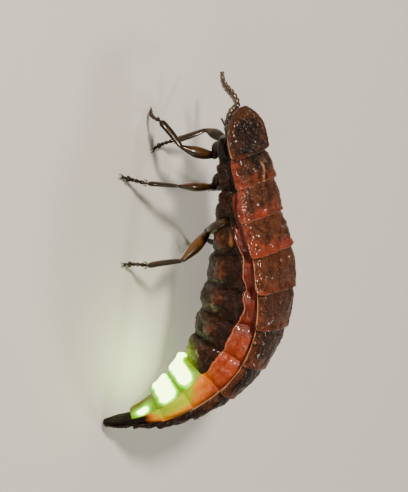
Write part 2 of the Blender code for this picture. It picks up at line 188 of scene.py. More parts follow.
class Finish:
    """A material, with the shader's fixed values, the place on the model in mm and its marks."""

    def __init__(self, name, **fixed):
        self.material = bpy.data.materials.new(name)
        self.material.use_nodes = True
        tree = self.material.node_tree
        self.shader = tree.nodes["Principled BSDF"]
        for key, value in fixed.items():
            self.shader.inputs[key.replace("_", " ")].default_value = value
        raw = Wire(tree, tree.nodes.new("ShaderNodeTexCoord").outputs["Object"])
        self.place = raw.add("ShaderNodeVectorMath", {"operation": "SCALE"}, {0: raw, "Scale": 1 / MM})

    def marks(self):
        """The three marks that a piece's vertices carry."""
        whole = self.place.add("ShaderNodeAttribute", {"attribute_name": "marks"}, {}, "Vector")
        return [whole.add("ShaderNodeSeparateXYZ", {}, {"Vector": whole}, axis) for axis in "XYZ"]

    def mark(self, name):
        """One mark of its own that a piece's vertices carry."""
        return self.place.add("ShaderNodeAttribute", {"attribute_name": name}, {}, "Fac")

    def join(self, **wires):
        for key, wire in wires.items():
            wire.tree.links.new(wire.socket, self.shader.inputs[key.replace("_", " ")])


board_finish = Finish("pale_board", Roughness=0.85)
board_grain = board_finish.place.noise(3.0, 4.0)
board_finish.join(Base_Color=board_grain.tint(BOARD_GREY, BOARD_PALE), Normal=board_grain.bump(0.15, 0.05))
board_mesh = bpy.data.meshes.new("board")
board_corners = [(x * BOARD_REACH, y * BOARD_REACH, 0.0) for x, y in ((-1, -1), (1, -1), (1, 1), (-1, 1))]
board_mesh.from_pydata(board_corners, [], [(0, 1, 2, 3)])
board = bpy.data.objects.new("board", board_mesh)
bpy.context.scene.collection.objects.link(board)
board_mesh.materials.append(board_finish.material)


# Soft skin of the trunk
# One salmon-pink membrane runs from the neck to the tip of the tail under all the plates. It
# shows along the flanks as a row of swollen lobes, one to a segment, with a raised rim below, painted pale
# pink as a highlight.
CENTRE = np.array((-9.208, 0.872, 0.0))
# Middle line of the trunk from the shield to the tail: its place in mm and the lean in degrees
MIDLINE = (
    (0.20, -2.85, 5.27, 4.0),
    (2.72, -2.00, 5.56, 7.0),
    (4.50, -1.30, 6.03, 3.0),
    (6.25, -0.82, 6.22, -1.0),
    (8.27, -0.18, 6.52, -6.0),
    (10.45, 0.24, 6.57, -11.0),
    (12.60, 0.48, 6.42, -16.0),
    (14.70, 0.36, 5.88, -20.0),
    (16.50, -0.08, 4.96, -22.0),
    (17.85, -0.75, 3.94, -25.0),
    (18.85, -1.57, 2.80, -29.0),
    (19.60, -2.45, 1.50, -32.0),
    (20.05, -3.15, 0.12, -32.0),
)
# Station along the middle line, half width, how high the sides and the crown of the back stand
# over the line, how high the belly begins and how deep it hangs, all in mm
GIRTH = (
    (1.2, 1.50, 0.45, 0.75, -0.15, 0.85),
    (2.0, 1.75, 0.55, 0.90, -0.18, 0.98),
    (2.7, 1.85, 0.80, 1.15, -0.20, 1.05),
    (4.5, 2.00, 0.98, 1.30, -0.10, 1.40),
    (6.4, 2.30, 1.20, 1.58, 0.00, 1.85),
    (8.5, 2.62, 1.68, 2.02, 0.40, 2.40),
    (10.7, 2.80, 2.02, 2.34, 0.60, 2.75),
    (12.9, 2.80, 2.08, 2.38, 0.50, 2.80),
    (15.0, 2.65, 1.92, 2.20, 0.25, 2.60),
    (17.0, 2.30, 1.62, 1.85, 0.00, 2.15),
    (18.9, 1.90, 1.18, 1.38, -0.15, 1.70),
    (20.6, 1.40, 0.78, 0.96, -0.20, 1.15),
    (22.3, 0.68, 0.34, 0.44, -0.10, 0.48),
    (23.4, 0.46, 0.23, 0.30, -0.06, 0.31),
    (24.1, 0.17, 0.10, 0.13, -0.02, 0.12),
)
SEGMENT_ENDS = np.array((1.5, 2.75, 4.45, 6.40, 8.50, 10.70, 12.85, 15.0, 17.05, 18.9, 20.65, 22.3,
                         24.2))
SKIN_ENDS = (1.5, 24.1)
SKIN_RINGS = 470
SKIN_CLEARANCE = 0.015
HIND_CORNER = 0.10
CROWN_SHARES = (0.0, 0.34, 0.64, 0.87, 1.0)
CROWN_ROUND = 2.4
BELLY_ANGLES = (22.0, 44.0, 64.0, 80.0, 90.0)
BELLY_SPREAD = 0.97
KEEL_TURN = 13.0
NOISE_CELLS = 97
# Places of the two lanterns: station and turn
LANTERN_SPOTS = ((17.95, 11.0), (19.9, 11.0))
# How deep the skin lies under the plates, and how high its lobes, rim, folds and creases stand
BACK_BED = 0.19
BELLY_BED = 0.13
LOBE_HEIGHT = 0.13
CLEFT_DEPTH = 0.06
RIM_HEIGHT = 0.15
FLANK_FOLD, FLANK_CREASE = 0.034, 0.016
TAIL_FOLD, TAIL_CREASE = 0.040, 0.030
SALMON_SHADE = (0.230, 0.0230, 0.0042)
SALMON = (0.430, 0.0640, 0.0130)
# The deeper red of the front, also used as painted shade in clefts and fold hollows
DEEP_RED_AND_SHADE = (0.0880, 0.0080, 0.0030)
SKIN_BROWN = (0.0065, 0.0023, 0.0009)
# Painted highlight: the pale pink of the raised rim along the flank
RIM_HIGHLIGHT_PINK = (0.420, 0.170, 0.1000)
# Painted lantern light: the orange and green the skin is painted near the lanterns, and the glow it is given
LIT_ORANGE = (0.820, 0.230, 0.0040)
LIT_GREEN = (0.450, 0.520, 0.0)
UNLIT = (0.0, 0.0, 0.0)
SKIN_LIGHT = (0.030, 0.110, 0.0)


def smooth_table(rows):
    """Returns a function that runs smoothly through rows of (position, values...)."""
    table = np.array(rows, float)
    knots = table[:, 0]
    values = table[:, 1:]
    slopes = np.gradient(values, knots, axis=0)

    def read(position):
        position = np.clip(position, knots[0], knots[-1])
        i = np.clip(np.searchsorted(knots, position, side="right") - 1, 0, len(knots) - 2)
        span = (knots[i + 1] - knots[i])[..., None]
        t = (position - knots[i])[..., None] / span
        start = (1 + 2 * t) * (1 - t) ** 2 * values[i] + t * (1 - t) ** 2 * span * slopes[i]
        end = t * t * (3 - 2 * t) * values[i + 1] + t * t * (t - 1) * span * slopes[i + 1]
        return start + end

    return read


def station_rows(points):
    """Rows of (distance from the first point, point...) along a line of points."""
    points = np.array(points, float)
    steps = np.linalg.norm(np.diff(points[:, :3], axis=0), axis=1)
    return np.column_stack((np.concatenate(([0.0], np.cumsum(steps))), points))


midline = smooth_table(station_rows(MIDLINE))
MIDLINE_LENGTH = station_rows(MIDLINE)[-1][0]
girth = smooth_table(GIRTH)


def trunk_frame(station):
    """Points of the middle line and the directions to the tail, right and back there."""
    station = np.asarray(station, float)
    inside = np.clip(station, 0.0, MIDLINE_LENGTH)
    here = midline(inside)
    tail = unit(midline(inside + 0.05)[..., :3] - midline(inside - 0.05)[..., :3])
    point = here[..., :3] + tail * (station - inside)[..., None]
    level_right = unit(np.array((0.0, 1.0, 0.0)) - tail[..., 1:2] * tail)
    level_up = np.cross(tail, level_right)
    lean = np.radians(here[..., 3:4])
    back = level_up * np.cos(lean) - level_right * np.sin(lean)
    right = level_right * np.cos(lean) + level_up * np.sin(lean)
    return point, tail, right, back


def place(station, across, up):
    """Place on the model in mm from its station, how far across to the right and how far up."""
    point, _, right, back = trunk_frame(station)
    return point + np.asarray(across)[..., None] * right + np.asarray(up)[..., None] * back + CENTRE


def ease(value, low, high):
    """Runs smoothly from 0 to 1 while the value runs from low to high."""
    t = np.clip((value - low) / (high - low), 0.0, 1.0)
    return t * t * (3 - 2 * t)


def fade(value, low, high):
    """Runs smoothly from 1 to 0 while the value runs from low to high."""
    return 1 - ease(value, low, high)


def mound(*spans):
    """Smooth hump of height 1. Each span is a value, where its top is and how far it reaches."""
    return np.exp(-sum(((value - top) / reach) ** 2 for value, top, reach in spans))


def swell_noise(x, y, size, seed):
    """Smooth random swell from -1 to 1 with humps about size apart. The seed picks its pattern."""
    lattice = np.random.default_rng(seed).uniform(-1, 1, (NOISE_CELLS, NOISE_CELLS))
    x, y = np.broadcast_arrays(np.asarray(x, float) / size, np.asarray(y, float) / size)
    i = np.floor(x).astype(int)
    j = np.floor(y).astype(int)
    s = ease(x - i, 0, 1)
    t = ease(y - j, 0, 1)
    here, ahead_of_it = i % NOISE_CELLS, (i + 1) % NOISE_CELLS
    near, far = (lattice[here, row % NOISE_CELLS] * (1 - s) + lattice[ahead_of_it, row % NOISE_CELLS] * s
                 for row in (j, j + 1))
    return near * (1 - t) + far * t


def rough(x, y, *layers):
    """Sum of random swells. Each layer is a height, the size of its humps and a seed."""
    return sum(height * swell_noise(x, y, size, seed) for height, size, seed in layers)


def curve_through(controls, position, mirrored):
    """Points and headings on smooth curves through rows of (across, up) that start at the crown."""
    flip = np.array((-1.0, 1.0))
    before = controls[:, 1:2] * flip
    after = controls[:, -2:-1] * flip if mirrored else 2 * controls[:, -1:] - controls[:, -2:-1]
    padded = np.concatenate((before, controls, after), axis=1)
    i = np.clip(np.floor(position).astype(int), 0, controls.shape[1] - 2)
    t = (position - i)[:, None]
    a, b, c, d = (padded[np.arange(len(i)), i + k] for k in range(4))
    bend = 2 * a - 5 * b + 4 * c - d
    twist = 3 * b - a - 3 * c + d
    point = 0.5 * (2 * b + (c - a) * t + bend * t ** 2 + twist * t ** 3)
    heading = 0.5 * ((c - a) + 2 * bend * t + 3 * twist * t ** 2)
    return point, unit(heading)


def stacked(rows):
    """Rows of (across, up) as one array with the places of each station together."""
    return np.stack([np.stack(np.broadcast_arrays(*row), -1) for row in rows], -2)


def trunk_controls(station, flare, swell):
    """Half outline of the trunk at each station, from the crown of the back to the keel."""
    half_width, edge, crown, belly_edge, belly = np.moveaxis(girth(station), -1, 0)
    plate = half_width * flare
    flank = half_width * swell
    rows = [(plate * share, edge + (crown - edge) * (1 - share ** CROWN_ROUND)) for share in CROWN_SHARES]
    fold = edge - (edge - belly_edge) * 0.55
    side_foot = edge - np.minimum(0.34, 0.4 * (edge - belly_edge))
    rows.append((plate * 0.985, side_foot))
    rows.append((flank * 0.88, fold + (side_foot - fold) * 0.55))
    rows.append((flank * 0.90, fold - (fold - belly_edge) * 0.5))
    belly_top = belly_edge - 0.08 * belly
    rows.append((flank * BELLY_SPREAD, belly_top))
    for angle in BELLY_ANGLES:
        turn = math.radians(angle)
        depth = (belly + belly_edge - 0.08 * belly) * math.sin(turn)
        rows.append((flank * BELLY_SPREAD * math.cos(turn) ** 0.9, belly_top - depth))
    return stacked(rows), side_foot, belly_edge, half_width


def off_outline(controls, around, out, mirrored):
    """Across and up of places that stand out from a half outline. Turns below 0 are on the left."""
    spot, heading = curve_through(controls, np.abs(around), mirrored)
    spot = spot + np.stack((-heading[:, 1], heading[:, 0]), -1) * out[:, None]
    return spot[:, 0] * np.where(around < 0, -1.0, 1.0), spot[:, 1]


def drawn_back(across, half_width):
    """How far the hind corners of the plates are drawn towards the tail."""
    side = np.clip(np.abs(across) / half_width - 0.55, 0.0, None) / 0.45
    return HIND_CORNER * np.minimum(side, 1.15) ** 1.6


def trunk_point(station, around, out=0.0, flare=0.98, swell=0.98):
    """Place on the trunk: around runs from 0 at the crown to 13 at the keel, below 0 on the left."""
    grids = np.broadcast_arrays(station, around, out, flare, swell)
    shape = grids[0].shape
    station, around, out, flare, swell = (grid.ravel().astype(float) for grid in grids)
    controls, side_foot, belly_edge, half_width = trunk_controls(station, flare, swell)
    across, up = off_outline(controls, around, out, True)
    height = np.clip((up - belly_edge) / (side_foot - belly_edge), 0.0, 1.0)
    return place(station + drawn_back(across, half_width) * height, across, up).reshape(*shape, 3)


def segment_phase(station):
    """Share of its segment's length that lies in front of a station."""
    number = np.clip(np.searchsorted(SEGMENT_ENDS, station, side="right") - 1, 0, len(SEGMENT_ENDS) - 2)
    start = SEGMENT_ENDS[number]
    return (station - start) / (SEGMENT_ENDS[number + 1] - start)


def finished_mesh(name, points, faces, marks):
    """Mesh in metres that faces outwards, with its three marks on every vertex."""
    mesh = bpy.data.meshes.new(name)
    mesh.from_pydata((points * MM).tolist(), [], faces.tolist() if isinstance(faces, np.ndarray) else faces)
    work = bmesh.new()
    work.from_mesh(mesh)
    bmesh.ops.recalc_face_normals(work, faces=work.faces)
    work.to_mesh(mesh)
    work.free()
    mesh.shade_smooth()
    field = mesh.attributes.new("marks", "FLOAT_VECTOR", "POINT")
    field.data.foreach_set("vector", np.asarray(marks, float).ravel())
    return mesh


def mounted(name, mesh, material, slot, *nodes):
    """Puts a finished piece on the model in place of its solids."""
    piece = bpy.data.objects.new(name, mesh)
    bpy.context.scene.collection.objects.link(piece)
    mesh.materials.clear()
    mesh.materials.append(material)
    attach(piece, "root")
    if nodes:
        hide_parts(*nodes)


def closed_loft(rings):
    """Points and faces of a closed tube through rings of equal count, with a pole at each end."""
    rings = np.asarray(rings, float)
    rows, count = rings.shape[:2]
    points = np.concatenate((rings[0].mean(0)[None], rings.reshape(-1, 3), rings[-1].mean(0)[None]))
    k = np.arange(count)
    n = (k + 1) % count
    faces = [(0, int(1 + b), int(1 + a)) for a, b in zip(k, n)]
    for row in range(rows - 1):
        low = 1 + row * count
        high = low + count
        faces += np.stack((low + k, low + n, high + n, high + k), -1).tolist()
    last = 1 + (rows - 1) * count
    faces += [(len(points) - 1, int(last + a), int(last + b)) for a, b in zip(k, n)]
    return points, faces


def rim_turn(station):
    """Turn at which the pink strip of the flank meets the brown belly, along a wavering ridge."""
    row = np.full_like(station, 3.0)
    waver = rough(station, row, (0.14, 0.62, 21), (0.05, 0.17, 22))
    level = 7.64 + 0.40 * ease(station, 12.2, 13.5) + 0.20 * ease(station, 16.7, 17.3)
    return level + waver * fade(station, 16.0, 17.5)


def belly_swell(station, turned):
    """How far the belly stands out past its plain round: a lobe and a side lump to each segment."""
    hump = np.sin(np.pi * np.clip(segment_phase(station), 0.0, 1.0))
    lobe = (0.24 * hump ** 0.7 - 0.32) * ease(turned, 8.6, 10.2)
    lump = 0.20 * mound((turned, 9.15, 0.50)) * hump ** 1.1
    lump += 0.07 * swell_noise(station, turned * 0.5, 0.34, 31) * ease(turned, 8.3, 8.9) * hump
    furrow = -0.11 * mound((turned, 8.35, 0.26))
    return (lobe + lump + furrow) * ease(station, 5.8, 7.6) * fade(station, 16.7, 17.6)


def glow_near(points, reach):
    """How strongly the light of the lanterns falls on places near them."""
    glow = np.zeros(points.shape[:-1])
    for station, around in LANTERN_SPOTS:
        for turn in (-around, KEEL_TURN, around):
            away = np.linalg.norm(points - trunk_point(station, turn), axis=-1)
            glow += mound((away, 0.0, reach))
    return np.minimum(glow, 1.0)


# The points of a ring crowd where the raised rim runs along the flank
half_turn = np.concatenate((np.arange(0.0, 5.0, 0.34), np.arange(5.0, 7.2, 0.13), np.arange(7.2, 8.6, 0.05),
                            np.arange(8.6, KEEL_TURN, 0.26)))
ring_turns = np.concatenate((half_turn, (KEEL_TURN,), -half_turn[:0:-1]))
station, around = np.meshgrid(np.linspace(*SKIN_ENDS, SKIN_RINGS), ring_turns, indexing="ij")
turned = np.abs(around)
phase = segment_phase(station)
joint_cleft = mound((np.minimum(phase, 1 - phase), 0.0, 0.09)) * (0.25 + 0.75 * ease(station, 15.5, 17.5))
lobe = np.sin(np.pi * np.clip(phase, 0, 1)) ** 0.7
on_abdomen = ease(station, 5.6, 8.0)
before_tip = fade(station, 20.0, 22.6)
below_rim = turned - rim_turn(station)
under_plates = fade(turned, 5.2, 6.3)
under_belly = ease(below_rim, 0.2, 0.7)
flank_band = ease(turned, 5.6, 6.6) * fade(below_rim, -0.25, 0.30)

# Relief: folds and creases, the raised rim, swollen lobes and clefts, and beds for the plates
folds = 0.5 * swell_noise(station, around * 0.9 + 40, 0.26, 5)
folds = folds + swell_noise(station, around * 0.5 + 9, 0.60, 8)
creases = swell_noise(station * 0.30, around * 0.9 + 11, 0.17, 12)
creases = creases + 0.5 * swell_noise(station * 0.5, around + 51, 0.09, 13)
creases *= 1 - 0.8 * ease(station, 16.4, 17.4) * fade(station, 21.6, 22.0)
rim_line = mound((below_rim, 0.0, 0.070)) * (0.75 + 0.25 * swell_noise(station, around * 0, 0.30, 14))
rim_line = rim_line * ease(station, 6.6, 8.2) * before_tip
flank_relief = (LOBE_HEIGHT * lobe - CLEFT_DEPTH * joint_cleft) * (0.45 + 0.55 * on_abdomen)
flank_relief = flank_relief + FLANK_FOLD * folds + FLANK_CREASE * creases
skin_out = (-BACK_BED * under_plates * (1 + 0.8 * fade(station, 3.5, 4.6)) - BELLY_BED * under_belly
            + flank_band * before_tip * flank_relief + RIM_HEIGHT * rim_line
            - 0.02 * joint_cleft * before_tip + belly_swell(station, turned)
            + (TAIL_FOLD * folds + TAIL_CREASE * creases) * ease(station, 21.9, 22.5))
skin_out = skin_out * (1 - 0.5 * ease(station, 21.5, 24.0))
skin_points = trunk_point(station, around, skin_out, 0.95, 0.91 + 0.08 * lobe)
skin_points[..., 2] = np.maximum(skin_points[..., 2], SKIN_CLEARANCE)

# Colour: pink on the flanks, deeper red in front, brown on belly and tail, painted lantern light near the
# lanterns
pink_zone = ease(station, 4.5, 5.0) * fade(turned, 6.9, 7.4) + ease(station, 6.2, 7.2)
pink_zone = np.clip(pink_zone, 0, 1) * fade(station, 20.4, 21.2)
brown_map = np.clip(1 - 0.97 * flank_band * pink_zone * fade(below_rim, 0.12, 0.30), 0, 1)
brown_map = np.clip(brown_map + 0.15 * folds * pink_zone + ease(station, 21.0, 21.8), 0, 1)
# The flank is a deeper red over the front of the abdomen. On top of it comes painted shade: more of the deep
# red in the clefts between segments, in the hollows of folds and creases, and up to the first abdominal
# segment.
deep_red_and_shade = 0.66 * fade(station, 12.5, 16.2) + 0.10 * fade(station, 7.8, 9.4)
red_and_shade_map = 0.30 * joint_cleft + deep_red_and_shade - 0.16 * folds - 0.07 * creases
# The second mark carries the brown, and below 0 the painted highlight on the rim.
skin_marks = np.stack((np.clip(red_and_shade_map, 0, 1), np.where(rim_line > 0.2, -1.1 * rim_line, brown_map),
                       glow_near(skin_points, 1.75) * fade(station, 21.0, 22.0)), -1)
skin_marks = np.concatenate((skin_marks[0, :1], skin_marks.reshape(-1, 3), skin_marks[-1, :1]))

skin_finish = Finish("soft_skin", IOR=1.42, Specular_IOR_Level=0.3, Subsurface_Weight=0.08,
                     Subsurface_Scale=0.0004, Subsurface_Radius=(1.0, 0.25, 0.12), Coat_Roughness=0.10,
                     Emission_Strength=1.0)
red_and_shade_mark, brown_and_rim_highlight_mark, glow_mark = skin_finish.marks()
blotch = skin_finish.place.noise(2.2, 4.0)
grain = skin_finish.place.noise(11.0, 3.0)
pore = skin_finish.place.cells(9.0)
rosy = (blotch * 0.9 + grain * 0.3).ramp(0.35, 0.85).tint(SALMON_SHADE, SALMON)
# Deeper red over the front, and painted shade in clefts and fold hollows
rosy = (red_and_shade_mark + blotch * 0.4 - 0.2).ramp(0.05, 0.95).tint(rosy, DEEP_RED_AND_SHADE)
rosy = (brown_and_rim_highlight_mark + blotch * 0.3 - 0.15).ramp(0.25, 0.9).tint(rosy, SKIN_BROWN)
# Painted highlight: the raised rim is painted pale pink.
rosy = (brown_and_rim_highlight_mark * -1.0 + grain * 0.3 - 0.15).ramp(0.2, 0.85).tint(rosy, RIM_HIGHLIGHT_PINK)
# Painted lantern light: near the lanterns the skin is painted orange, then green, and is made to glow green
rosy = (glow_mark + blotch * 0.3 - 0.15).ramp(0.05, 0.70).tint(rosy, LIT_ORANGE)
rosy = (glow_mark + blotch * 0.3 - 0.15).ramp(0.55, 0.95).tint(rosy, LIT_GREEN)
skin_finish.join(Base_Color=rosy, Roughness=0.30 + grain * 0.22,
                 Coat_Weight=(blotch + grain * 0.6 - brown_and_rim_highlight_mark * 0.25).ramp(0.7, 1.0) * 0.7,
                 Emission_Color=glow_mark.ramp(0.45, 1.0).tint(UNLIT, SKIN_LIGHT),
                 Normal=(grain * 0.8 + pore * 0.5).bump(0.7, 0.04))
mounted("soft_skin", finished_mesh("soft_skin", *closed_loft(skin_points), skin_marks), skin_finish.material,
        "soft_side", "prothorax", "mesothorax", "metathorax", *(f"abdomen_{k}" for k in range(1, 9)), "tail")


# Back plates
# Hard brown plates lap over each other like roof tiles, one to a segment. Each is a thin
# crowned sheet with a granular face, a pale rolled rim and rounded hind corners.
PLATE_THICKNESS = 0.12
PLATE_RIM = 0.07
PLATE_RIM_HEIGHT = 0.020
PLATE_CLEARANCE = 0.12
PLATE_LAP = 0.02
PLATE_TUCK = 0.30
FIRST_TUCK = 0.12
PLATE_ARC = 2.5
FULLEST_HALF = 2.8
MARGIN_TURN = 6.0
CORNER_ROUND = 0.42
# Name, where it starts and ends, rosy strength at the sides and at the rear, darkness of the middle
BACK_PLATES = (
    ("mesonotum", 2.75, 4.45, 1.00, 0.50, 0.9),
    ("metanotum", 4.45, 6.40, 1.00, 0.95, 0.4),
    ("back_plate_1", 6.40, 8.50, 0.95, 0.85, 0.3),
    ("back_plate_2", 8.50, 10.65, 0.35, 0.30, 0.6),
    ("back_plate_3", 10.65, 12.75, 0.28, 0.15, 0.8),
    ("back_plate_4", 12.75, 14.95, 0.20, 0.10, 1.1),
    ("back_plate_5", 14.95, 16.95, 0.12, 0.10, 1.7),
    ("back_plate_6", 16.95, 19.10, 0.06, 0.10, 1.35),
    ("back_plate_7", 19.10, 21.00, 0.05, 0.05, 1.5),
    ("back_plate_8", 21.00, 22.30, 0.00, 0.00, 2.0),
    ("tail_plate", 22.30, 24.00, 0.00, 0.00, 2.0),
)
# Station, turn and radius of the glossy pink beads that sit on a plate, the same on both sides
PLATE_BEADS = {
    "mesonotum": ((3.20, 2.3, 0.07), (4.27, 4.6, 0.09)),
    "metanotum": ((5.30, 4.6, 0.07), (6.24, 4.7, 0.10)),
    "back_plate_1": ((8.32, 4.7, 0.06),),
    "back_plate_2": ((8.98, 0.7, 0.12), (10.46, 4.8, 0.07)),
    "back_plate_3": ((11.3, 1.2, 0.07), (12.55, 4.7, 0.07)),
    "back_plate_4": ((13.5, 5.4, 0.10),),
}
BEAD_SIDES = 14
BEAD_LATITUDES = (-75, -50, -25, 0, 25, 50, 75)
BEAD_MARKS = (1.0, 0.55, 0.0)
# Spacing, radius and dullest shine of the grains: many fine ones, then a few coarse ones
PLATE_GRAINS = ((0.115, 0.030, 0.1), (0.46, 0.040, 0.5))
COARSE_SEED = 40
SHINE_SEED = 5
GRAIN_DENSITY = 6e8
GRAIN_SMALLEST, GRAIN_LARGEST = 0.55, 1.35
HORN_DARK = (0.0200, 0.0050, 0.0012)
HORN_BROWN = (0.1150, 0.0310, 0.0075)
HORN_BLACK = (0.0070, 0.0026, 0.0009)
GRAIN_TAN = (0.1500, 0.0450, 0.0130)
BORDER_RED = (0.0850, 0.0095, 0.0034)
BORDER_ROSE = (0.3000, 0.0430, 0.0150)
MARGIN_TAN = (0.0520, 0.0160, 0.0042)
FLECK_PINK = (0.1900, 0.0850, 0.0360)
RIM_PALE = (0.3900, 0.1900, 0.0950)
BEAD_PINK = (0.2300, 0.0980, 0.0480)


def rim_spread(count, length):
    """Shares from 0 to 1 that crowd at both ends, so that a rolled rim is round."""
    edge = np.array((0.0, 0.08, 0.25, 0.5, 0.8, 1.15, 1.6, 2.2)) * PLATE_RIM / length
    return np.concatenate((edge, np.linspace(edge[-1], 1 - edge[-1], count)[1:-1], 1 - edge[::-1]))


def sheet_grid(rows, length, columns, arc):
    """Shares from a plate's front to its rear and from its left to its right, as two grids."""
    return np.meshgrid(rim_spread(rows, length), rim_spread(columns, arc), indexing="ij")


def shell_of(middle_sheet, thickness, rim_height, to_rim, rim=PLATE_RIM):
    """Closed shell about a sheet of points: full inside, rolled at the rim and shut along it."""
    du = np.gradient(middle_sheet, axis=1)
    dv = np.gradient(middle_sheet, axis=0)
    normal = unit(np.cross(dv, du) + 1e-12)
    roll = np.sqrt(np.clip(1 - (1 - np.clip(to_rim / rim, 0, 1)) ** 2, 0, 1))
    half = (thickness / 2 + rim_height * mound((to_rim, rim, 0.9 * rim))) * roll
    top = middle_sheet + normal * half[..., None]
    bottom = middle_sheet - normal * (thickness / 2 * roll)[..., None]
    rows, columns = to_rim.shape
    number = np.arange(rows * columns).reshape(rows, columns)
    under = number.copy()
    under[1:-1, 1:-1] = np.arange((rows - 2) * (columns - 2)).reshape(rows - 2, columns - 2) + rows * columns
    points = np.concatenate((top.reshape(-1, 3), bottom[1:-1, 1:-1].reshape(-1, 3)))
    quads = []
    for grid, way in ((number, 1), (under, -1)):
        corners = [grid[:-1, :-1], grid[:-1, 1:], grid[1:, 1:], grid[1:, :-1]]
        quads.append(np.stack(corners[::way], -1).reshape(-1, 4))
    return points, np.concatenate(quads)


def shell_marks(marks):
    """Marks of a sheet's places, given to both faces of its shell."""
    return np.concatenate((marks.reshape(-1, 3), marks[1:-1, 1:-1].reshape(-1, 3)))


def plate_controls(station, flare):
    """Half outline of a back plate: its crown, shoulder and a side that ends in a free margin."""
    half_width, edge, crown, belly_edge, _ = np.moveaxis(girth(station), -1, 0)
    plate = half_width * flare
    side = np.minimum(0.56, 0.42 * (edge - belly_edge))
    rise = crown - edge
    rows = [(plate * share, edge + rise * (1 - share ** CROWN_ROUND)) for share in (0.0, 0.34, 0.62)]
    rows.append((plate * 0.83, edge + rise * 0.32 - side * 0.05))
    rows.append((plate * 0.955, edge - side * 0.16))
    rows.append((plate * 1.025, edge - side * 0.50))
    rows.append((plate * 1.05, edge - side))
    return stacked(rows)


def plate_point(station, around, out, flare):
    """Place on a back plate: around runs from -6 at its left margin to 6 at its right."""
    grids = np.broadcast_arrays(station, around, out, flare)
    station, around, out, flare = (grid.ravel() for grid in grids)
    across, up = off_outline(plate_controls(station, flare), around, out, False)
    half_width = girth(station)[:, 0]
    return place(station + drawn_back(across, half_width), across, up).reshape(*grids[0].shape, 3)


plate_finish = Finish("brown_plate", IOR=1.5, Specular_IOR_Level=0.14, Coat_Roughness=0.09, Coat_IOR=1.7)
rosy_mark, pale_mark, dark_mark = plate_finish.marks()
bead_mark = plate_finish.mark("bead")
tan_mark = plate_finish.mark("tan")
wet_mark = plate_finish.mark("wet")
mottle = plate_finish.place.noise(1.8, 5.0, 0.62)
patch = plate_finish.place.noise(0.7, 3.0)
fine = plate_finish.place.noise(14.0, 3.0)
grains = plate_finish.place.cells(9.0)
flecks = plate_finish.place.cells(4.2)
horn = (mottle * 0.7 + fine * 0.3).ramp(0.34, 0.66).tint(HORN_DARK, HORN_BROWN)
horn = grains.ramp(0.05, 0.40).tint(GRAIN_TAN, horn)
horn = (dark_mark * 0.8 + mottle * 0.8 + patch * 0.5 - 0.75).ramp(0.25, 0.95).tint(horn, HORN_BLACK)
border = (mottle * 0.8 + patch * 0.5 + fine * 0.3).ramp(0.5, 1.05).tint(BORDER_RED, BORDER_ROSE)
horn = (rosy_mark + mottle * 1.1 + fine * 0.4 - 0.75).ramp(0.0, 1.10).tint(horn, border)
horn = (tan_mark + mottle * 0.9 + grains * 0.5 - 0.70).ramp(0.15, 1.15).tint(horn, MARGIN_TAN)
horn = (flecks + patch * 0.6 - 0.3).ramp(0.04, 0.14).tint(FLECK_PINK, horn)
horn = (pale_mark + fine * 0.4 - 0.2).ramp(0.30, 1.00).tint(horn, RIM_PALE)
horn = (bead_mark + mottle * 0.8 - 0.40 - wet_mark * 0.4).ramp(0.45, 1.25).tint(horn, BEAD_PINK)
gloss = (mottle * 0.9 + fine * 0.5).ramp(0.55, 1.0) * 0.45 + bead_mark * 0.42 + wet_mark * 0.5
plate_finish.join(Base_Color=horn, Roughness=0.38 + fine * 0.22 - bead_mark * 0.22, Coat_Weight=gloss,
                  Normal=((1 - grains) * 0.9 + fine * 0.5).bump(0.9, 0.06))


def node_tree(name, **inputs):
    """New tree of geometry nodes, the keys of its inputs and their wires, both by name."""
    tree = bpy.data.node_groups.new(name, "GeometryNodeTree")
    keys = {}
    for key, kind in inputs.items():
        socket = tree.interface.new_socket(name=key, in_out="INPUT", socket_type="NodeSocket" + kind)
        keys[key] = socket.identifier
    tree.interface.new_socket(name="Geometry", in_out="OUTPUT", socket_type="NodeSocketGeometry")
    entry = tree.nodes.new("NodeGroupInput")
    return tree, keys, {socket.name: Wire(tree, socket) for socket in entry.outputs if socket.name}


def closed_tree(tree, wire, finish):
    """Ends a tree of geometry nodes with real faces of one material."""
    wire = wire.add("GeometryNodeSetMaterial", {}, {"Geometry": wire, "Material": finish})
    tree.links.new(wire.socket, tree.nodes.new("NodeGroupOutput").inputs[0])


def grown(name, source, tree, keys, values):
    """Plain mesh that a tree of nodes makes from a source object, which is then removed."""
    growth = source.modifiers.new("Growth", "NODES")
    growth.node_group = tree
    for key, value in values.items():
        growth[keys[key]] = value
    bpy.context.scene.collection.objects.link(source)
    bpy.context.view_layer.update()
    made = bpy.data.meshes.new_from_object(source.evaluated_get(bpy.context.evaluated_depsgraph_get()))
    source.modifiers.clear()
    bpy.data.objects.remove(source)
    made.name = name
    return made


grained, grained_keys, given = node_tree("grains_on_a_plate", Plate="Geometry", Spacing="Float", Size="Float",
                                         Dullest="Float", Seed="Int", Finish="Material")
start = given["Plate"]
where = start.add("GeometryNodeInputNamedAttribute", {"data_type": "FLOAT"}, {"Name": "grain"})
strewn = start.add("GeometryNodeDistributePointsOnFaces", {"distribute_method": "POISSON"}, {
    "Mesh": start, "Distance Min": given["Spacing"], "Density Max": GRAIN_DENSITY, "Density Factor": where,
    "Seed": given["Seed"]}, "Points")
facing = Wire(grained, strewn.socket.node.outputs["Rotation"])
size = start.add("FunctionNodeRandomValue", {"data_type": "FLOAT"},
                 {"Min": GRAIN_SMALLEST, "Max": GRAIN_LARGEST, "Seed": given["Seed"]})
bead = start.add("GeometryNodeMeshIcoSphere", {}, {"Radius": given["Size"], "Subdivisions": 1}, "Mesh")
bead = start.add("GeometryNodeSetShadeSmooth", {}, {"Geometry": bead})
beads = start.add("GeometryNodeInstanceOnPoints", {}, {"Points": strewn, "Instance": bead, "Rotation": facing,
                                                       "Scale": size})
